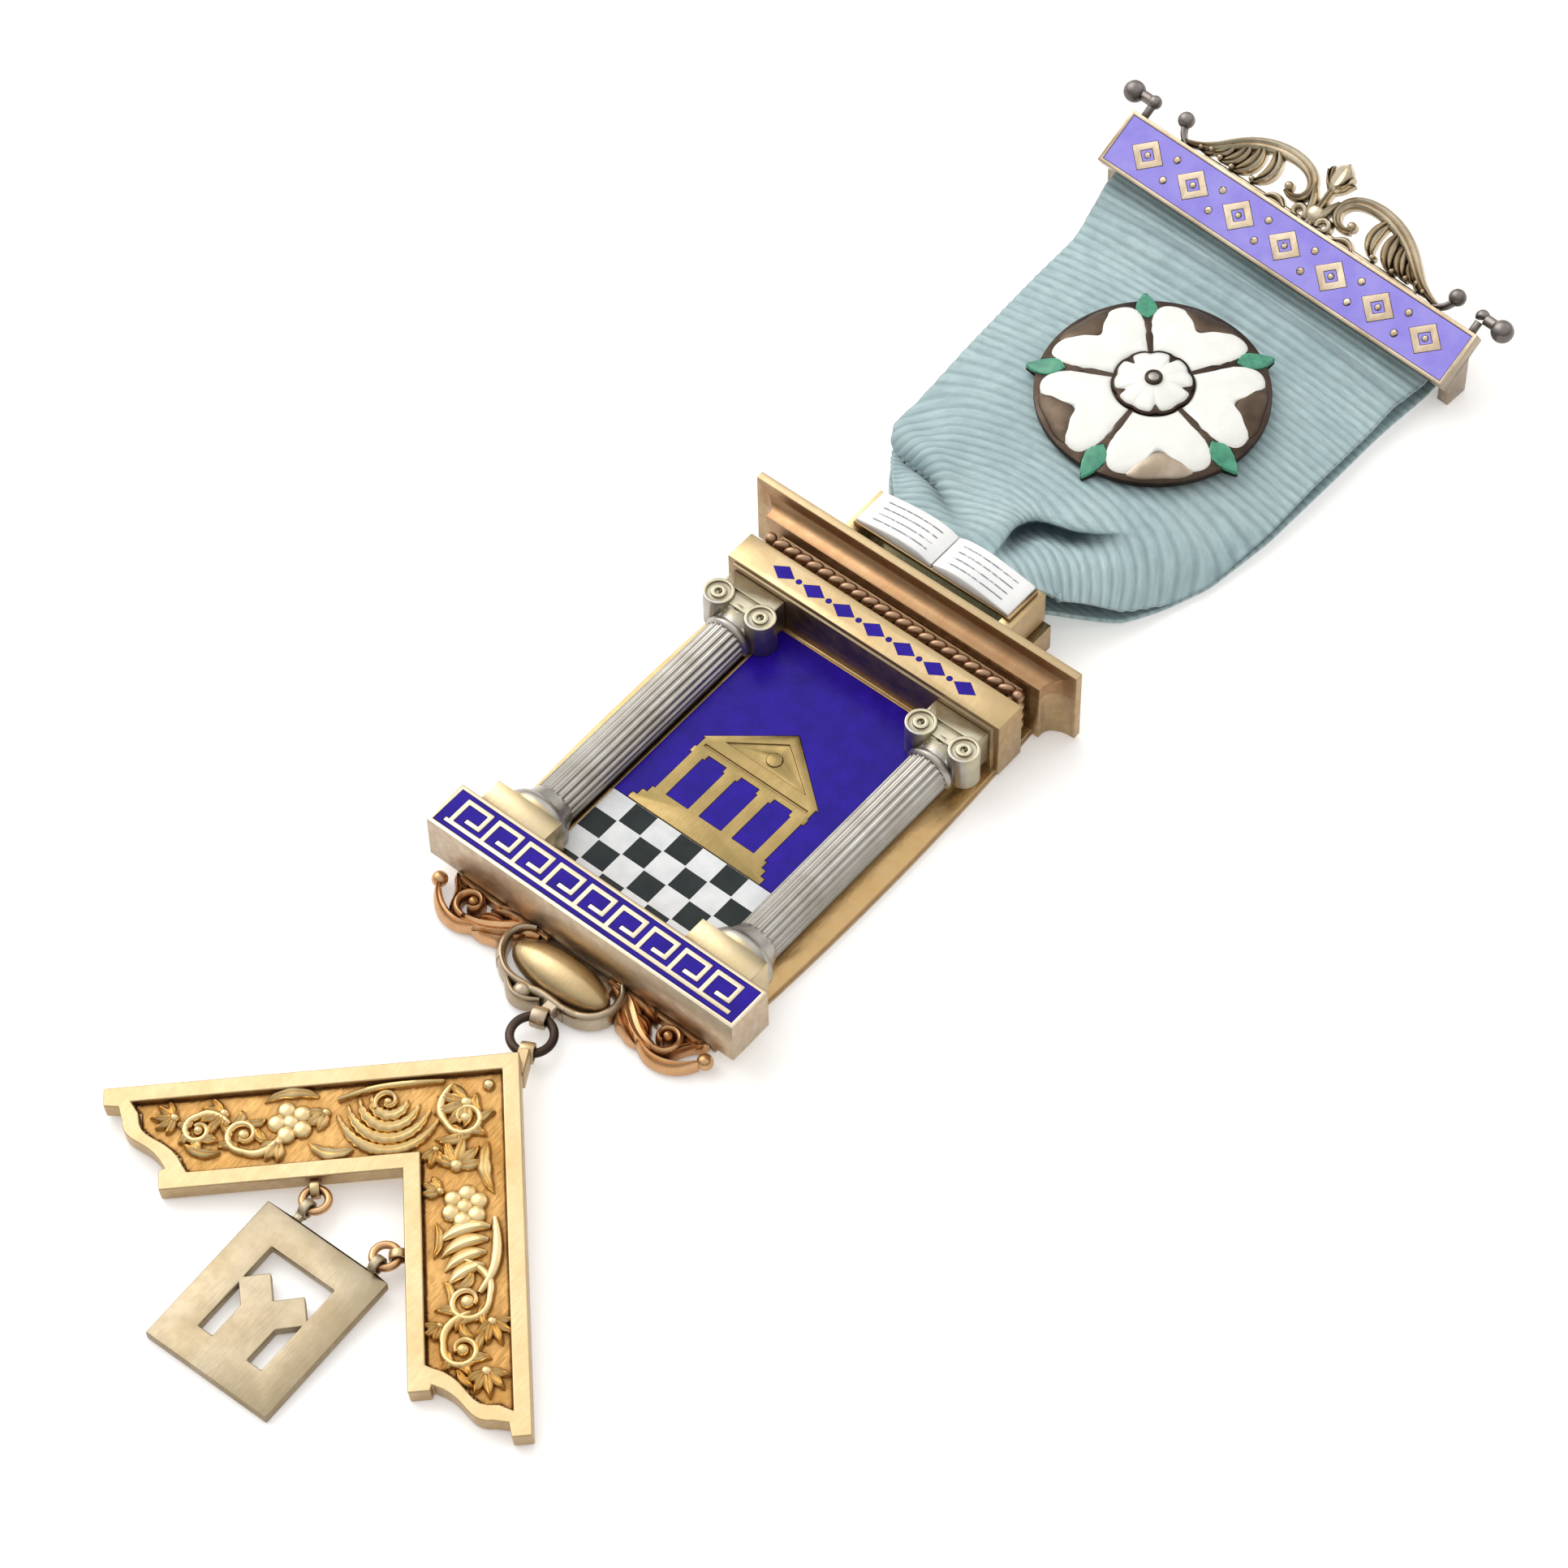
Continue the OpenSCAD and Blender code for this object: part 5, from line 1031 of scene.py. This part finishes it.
# Place along the run, left and right half widths, height in the middle and at the edges, how far
# the section follows the bail, how far it follows the rod
FRONT = np.array([
    [0, 0.2, 0.2, 1, 1, 1, 0],
    [0.02, 0.202, 0.201, 1, 0.99, 0.97, 0],
    [0.039, 0.232, 0.216, 1, 0.98, 0.94, 0],
    [0.094, 0.295, 0.289, 1, 0.88, 0.67, 0],
    [0.141, 0.347, 0.353, 1, 0.64, 0.42, 0],
    [0.222, 0.411, 0.405, 1, 0.47, 0.17, 0],
    [0.31, 0.419, 0.448, 1, 0.46, 0, 0],
    [0.463, 0.432, 0.474, 1, 0.5, 0, 0],
    [0.673, 0.442, 0.482, 1, 0.5, 0, 0],
    [0.735, 0.444, 0.483, 0.96, 0.48, 0, 0],
    [0.79, 0.446, 0.484, 0.78, 0.47, 0, 0],
    [0.855, 0.462, 0.488, 0.98, 0.64, 0, 0],
    [0.927, 0.497, 0.496, 0.78, 0.72, 0, 0.6],
    [0.953, 0.5, 0.5, 0.74, 0.74, 0, 0.7],
    [1, 0.5, 0.5, 1, 1, 0, 1],
])
BACK_RISE = np.array([[0, 1], [0.039, 0.88], [0.094, 0.42], [0.141, 0.12], [0.2, 0], [1, 0]])

# Soft folds: place along, place across in widths, direction, half length and half width in widths,
# height in millimetres
FOLDS = np.array([
    [0.23, 0.3, 60, 0.24, 0.07, 0.3],
    [0.2, -0.25, -60, 0.26, 0.06, 0.4],
    [0.25, -0.33, -75, 0.24, 0.05, -0.34],
    [0.15, -0.3, -22, 0.12, 0.026, -1],
    [0.185, -0.3, -24, 0.13, 0.03, 0.5],
    [0.105, -0.17, -30, 0.12, 0.026, -0.9],
    [0.86, -0.1, 4, 0.5, 0.06, 0.26],
    [0.8, -0.22, -9, 0.26, 0.026, -0.34],
    [0.905, 0.12, -3, 0.36, 0.02, -0.3],
])

# The lip of the tuck over the right of the bail, and how strong the tuck is along it
TUCK = np.array([
    [2.55, 53.4, 0.15],
    [2.1, 54.9, 0.4],
    [1.05, 56.9, 0.75],
    [0.75, 58.6, 0.95],
    [1.25, 60.3, 1],
    [2.6, 61.6, 1],
    [4.95, 62.1, 0.9],
    [7.1, 63, 0.5],
    [8.9, 64.4, 0.14],
    [10.6, 65.8, 0],
])
# Across the tuck, from the flap below (minus) to the layer that overhangs it: its rise, and its shift
# over the flap
TUCK_AT = [-8, -6, -4.4, -3.2, -2.2, -1.5, -1, -0.6, -0.3, -0.05, 0.15, 0.4, 0.8, 1.5, 2.6, 4.2, 6.5]
TUCK_RISE = [0, 0.02, -0.2, -0.7, -1.3, -1.65, -1.6, -1.2, -0.6, 0.05, 0.45, 0.75, 0.95, 0.95, 0.65, 0.22, 0]
TUCK_SHIFT = [0, 0, 0, 0, 0, 0, 0, 0.05, 0.45, 1.15, 1.55, 1.72, 1.65, 1.25, 0.7, 0.22, 0]


def row_of(column):
    """A column of the front table, smoothed a little, as a function of the place along."""
    t = np.linspace(0, 1, 801)
    v = np.interp(t, FRONT[:, 0], FRONT[:, column])
    kernel = np.exp(-0.5 * (np.arange(-24, 25) / 8.0) ** 2)
    soft = np.convolve(np.pad(v, 24, mode="edge"), kernel / kernel.sum(), "valid")
    v = v + (soft - v) * clip01(np.minimum(t, 1 - t) / 0.03)
    return lambda at: np.interp(at, t, v)


left_half, right_half, mid_z, edge_z, to_bail, to_rod = (row_of(c) for c in range(1, 7))


def half_width(t, u):
    """Half the width on the side of u, at the place t along the run."""
    return np.where(u < 0, left_half(t), right_half(t)) * WIDE


def skew(t, x):
    """How far the rod's turn moves a place along the run."""
    return x * math.tan(math.radians(SWING)) * clip01((t - 0.6) / 0.32)


def tucked(points):
    """Folds the front layer over itself along the tuck, and gives the share of painted shade under its
    overhang.
    """
    lip = along(TUCK[:, :2], 80)
    s = way_along(TUCK[:, :2])
    power = np.interp(np.linspace(0, s[-1], 81), s, TUCK[:, 2])
    way = unit(np.gradient(lip, axis=0))
    off = points[..., None, :2] - lip
    far = np.linalg.norm(off, axis=-1)
    near = np.argmin(far, axis=-1)
    d = np.take_along_axis(far, near[..., None], -1)[..., 0]
    here = np.take_along_axis(off, near[..., None, None], -2)[..., 0, :]
    w = way[near]
    left = np.stack([-w[..., 1], w[..., 0]], axis=-1)
    d = d * np.sign((here * left).sum(-1))
    strength = power[near] * (1 - clip01(np.abs((here * w).sum(-1)) / 2.5))
    rise, shift = (np.interp(d, TUCK_AT, row) * strength for row in (TUCK_RISE, TUCK_SHIFT))
    moved = points.copy()
    moved[..., :2] -= left * shift[..., None]
    moved[..., 2] += rise
    # painted shade under the overhanging layer
    hollow_shade = np.interp(d, [-3.0, -1.7, -0.9, -0.2, 0.05], [0, 0.45, 1, 1, 0])
    return moved, hollow_shade * clip01(strength * 1.3)


def in_fold(fold, t, x):
    """How strongly a soft fold shows at a place."""
    at, side, turned, long, wide, _ = fold
    dx, dy = x - side * WIDE, (t - at) * RUN
    c, s = ray(turned)
    return np.exp(-((dx * c + dy * s) / (long * WIDE)) ** 2 - ((dy * c - dx * s) / (wide * WIDE)) ** 2)


def front_points(t, u):
    """Middle of the front layer at shares t along and u across."""
    x = u * half_width(t, u)
    droop = np.abs(u) ** 2.6
    m = mid_z(t) * (1 - droop) + edge_z(t) * droop
    over_bail, over_rod = BAIL_Z + BAIL_R + FOLD_R - PUFF_Z, ROD_Z + ROD_R + FOLD_R - PUFF_Z
    z = PUFF_Z * m + over_bail * to_bail(t) + over_rod * to_rod(t)
    low_edge = np.interp(t, [0.01, 0.06, 0.22, 0.45, 0.6], [0, 1, 1, 0.45, 0])
    z = z - EDGE_DROOP * clip01((u - 0.62) / 0.38) ** 1.6 * low_edge
    soft = clip01(t / 0.08) * clip01((1 - t) / 0.12)
    for fold in FOLDS:
        z = z + soft * fold[-1] * in_fold(fold, t, x)
    pleats = np.cos(np.radians(u * 560)) * clip01(1 - np.abs(t - 0.1) / 0.12) * clip01(1 - (x + 2) / 5)
    return np.stack([x, BAIL_Y + t * RUN + skew(t, x), z + soft * 0.30 * pleats], axis=-1)


def shade(t, u):
    """Share of shadow in the creases at the left of the bail and under the brooch bar."""
    x = u * half_width(t, u)
    dark = 0.0 * x
    for fold in FOLDS[FOLDS[:, -1] < -0.6]:
        dark += 0.5 * in_fold(fold, t, x)
    streak = 0.75 + 0.25 * np.sin(0.31 * x + 55 * t)
    dark += streak * (0.34 * np.exp(-((t - 0.925) / 0.016) ** 2) + 0.30 * np.exp(-((t - 0.872) / 0.012) ** 2))
    return dark + 0.16 * clip01((t - 0.8) / 0.12)


def back_points(t, u):
    """Middle of the back layer, which lies on the table."""
    x = u * (half_width(t, u) + 0.05 * clip01(t / 0.04))
    rise = (BAIL_Z - BAIL_R - FOLD_R - BACK_Z) * np.interp(t, BACK_RISE[:, 0], BACK_RISE[:, 1])
    return np.stack([x, BAIL_Y + t * RUN + skew(t, x), BACK_Z + rise], axis=-1)


def turn_points(t, angle, r, z, u):
    """Middle of the turn round the bail or the rod."""
    a = np.radians(angle)
    x = u * half_width(t, u) + 0 * a
    return np.stack([x, BAIL_Y + t * RUN + skew(t, x) + r * np.cos(a), z + r * np.sin(a) + 0 * x], axis=-1)


def ribbon():
    """The closed loop of silk: front, turn round the rod, back, turn round the bail."""
    fine, across = 320, 120
    u = np.interp(np.linspace(0, 1, across + 1), [0, 0.38, 0.85, 1], [-1, -0.1, 0.7, 1])[None, :]
    t = np.interp(np.linspace(0, 1, fine + 1), [0, 0.44, 1], [0, 0.30, 1])[:-1, None]
    front = front_points(t + 0 * u, u + 0 * t)
    over = turn_points(1.0 + 0 * u, np.linspace(90, -90, 9)[:, None], ROD_R + FOLD_R, ROD_Z, u)
    tb = (np.linspace(1, 0, 41)[1:-1, None]) ** 1.4
    back = back_points(tb + 0 * u, u + 0 * tb)
    under = turn_points(0.0 + 0 * u, np.linspace(-90, -270, 9)[:-1, None], BAIL_R + FOLD_R, BAIL_Z, u)
    loop = np.concatenate([front, over, back, under])
    rows, columns = loop.shape[:2]
    # the ribs bow where the ribbon is gathered
    bow = np.interp(t, [0.0, 0.09, 0.2, 0.34, 0.46, 1.0], [0.11, 0.095, 0.06, 0.02, 0.0, 0.0])
    phase = (t * RUN + bow * front[..., 0] ** 2 / 2) / RIB
    normal = unit(np.cross(np.gradient(loop, axis=1), np.roll(loop, -1, 0) - np.roll(loop, 1, 0)))
    loop = loop + normal * HALF_WALL
    rib = 0.5 + 0.5 * np.cos(2 * np.pi * phase)
    loop[:fine] += normal[:fine] * (RIB_HIGH * rib ** 0.7 - RIB_SUNK)[..., None]
    loop[:fine], hollow_shade = tucked(loop[:fine])
    weave_and_shade = np.zeros((rows, columns, 3))
    weave_and_shade[..., 0] = loop[..., 0]
    weave_and_shade[:fine, :, 1] = phase
    # painted shade: the tuck's overhang and the creases darken the silk
    weave_and_shade[:fine, :, 2] = np.clip(0.97 * hollow_shade + shade(t, u), 0, 0.97)
    weave_and_shade[fine:, :, 1] = (RUN + way_along(loop[fine:, columns // 2])[:, None]) / RIB
    faces = grid_faces(rows, columns, wrap_rows=True).tolist()
    obj = piece("ribbon_silk", loop.reshape(-1, 3), faces, SILK, "ribbon")
    layer = obj.data.attributes.new("weave_and_shade", "FLOAT_VECTOR", "POINT")
    layer.data.foreach_set("vector", weave_and_shade.ravel())
    thick = obj.modifiers.new("thickness", "SOLIDIFY")
    thick.thickness = SHEET * MM
    thick.offset = -1


ribbon()


# Stage and camera


def stage():
    """The white table, and a room that lights it."""
    look, tree, shader = blank("white_table")
    where = in_mm(tree)
    fill(tree, shader, {
        "Base Color": mix(tree, noise(tree, where, 0.01, 2), (0.88, 0.88, 0.88), (0.90, 0.90, 0.90)),
        "Roughness": remap(tree, noise(tree, where, 0.05, 2), 0.3, 0.7, 0.28, 0.34),
        # painted light: the white table glows faintly, which softens the shadows on it
        "Emission Color": (1.0, 0.965, 0.93, 1),
        "Emission Strength": 0.3,
    })
    half, low = 1.5, cad_box[0][2]
    corners = [(-half, -half, low), (half, -half, low), (half, half, low), (-half, half, low)]
    mesh = bpy.data.meshes.new("table_top")
    mesh.from_pydata(corners, [], [(0, 1, 2, 3)])
    mesh.materials.append(look)
    top = bpy.data.objects.new("table_top", mesh)
    bpy.context.scene.collection.objects.link(top)

    world = bpy.data.worlds.new("studio")
    world.use_nodes = True
    bpy.context.scene.world = world
    tree = world.node_tree
    direction = add(tree, "TexCoord").outputs["Generated"]
    ceiling = remap(tree, parts_of(tree, direction)[2], 0.0, 0.9, 0.24, 0.92)
    # a broad soft window at the upper left, and a dimmer one behind
    for aim, power, strength in (((-0.75, 0.05, 0.66), 7.0, 2.3), ((0.25, 0.80, 0.55), 10.0, 0.55)):
        dot = add(tree, "VectorMath", {0: direction, 1: Vector(aim).normalized()}, operation="DOT_PRODUCT")
        lobe = calc(tree, "POWER", calc(tree, "MAXIMUM", dot.outputs["Value"], 0.0), power)
        ceiling = calc(tree, "ADD", ceiling, times(tree, lobe, strength))
    fill(tree, tree.nodes["Background"], {"Color": (1.0, 0.99, 0.97, 1), "Strength": ceiling})
    bpy.context.scene.view_settings.view_transform = "Standard"


def camera():
    """The photograph's view, from a fit of the jewel's proportions."""
    azimuth, elevation, roll = (math.radians(a) for a in (40.669, 53.939, -1.319))
    distance = 476.028
    aim = np.array([1.142, 25.98, 0.0])
    focal = 6679.914
    side = 1932
    back = np.array([math.sin(azimuth) * math.cos(elevation), -math.cos(azimuth) * math.cos(elevation),
                     math.sin(elevation)])
    right = np.array([math.cos(azimuth), math.sin(azimuth), 0.0])
    up = np.cross(back, right)
    level = right * math.cos(roll) + up * math.sin(roll)
    upright = up * math.cos(roll) - right * math.sin(roll)
    data = bpy.data.cameras.new("camera")
    data.sensor_width = 36.0
    data.lens = focal / side * data.sensor_width
    data.clip_end = 10.0
    cam = bpy.data.objects.new("camera", data)
    bpy.context.scene.collection.objects.link(cam)
    facing = Matrix(np.stack([level, upright, back], axis=1).tolist()).to_4x4()
    cam.matrix_world = Matrix.Translation(placed(aim + back * distance)) @ facing
    bpy.context.scene.camera = cam


stage()
camera()
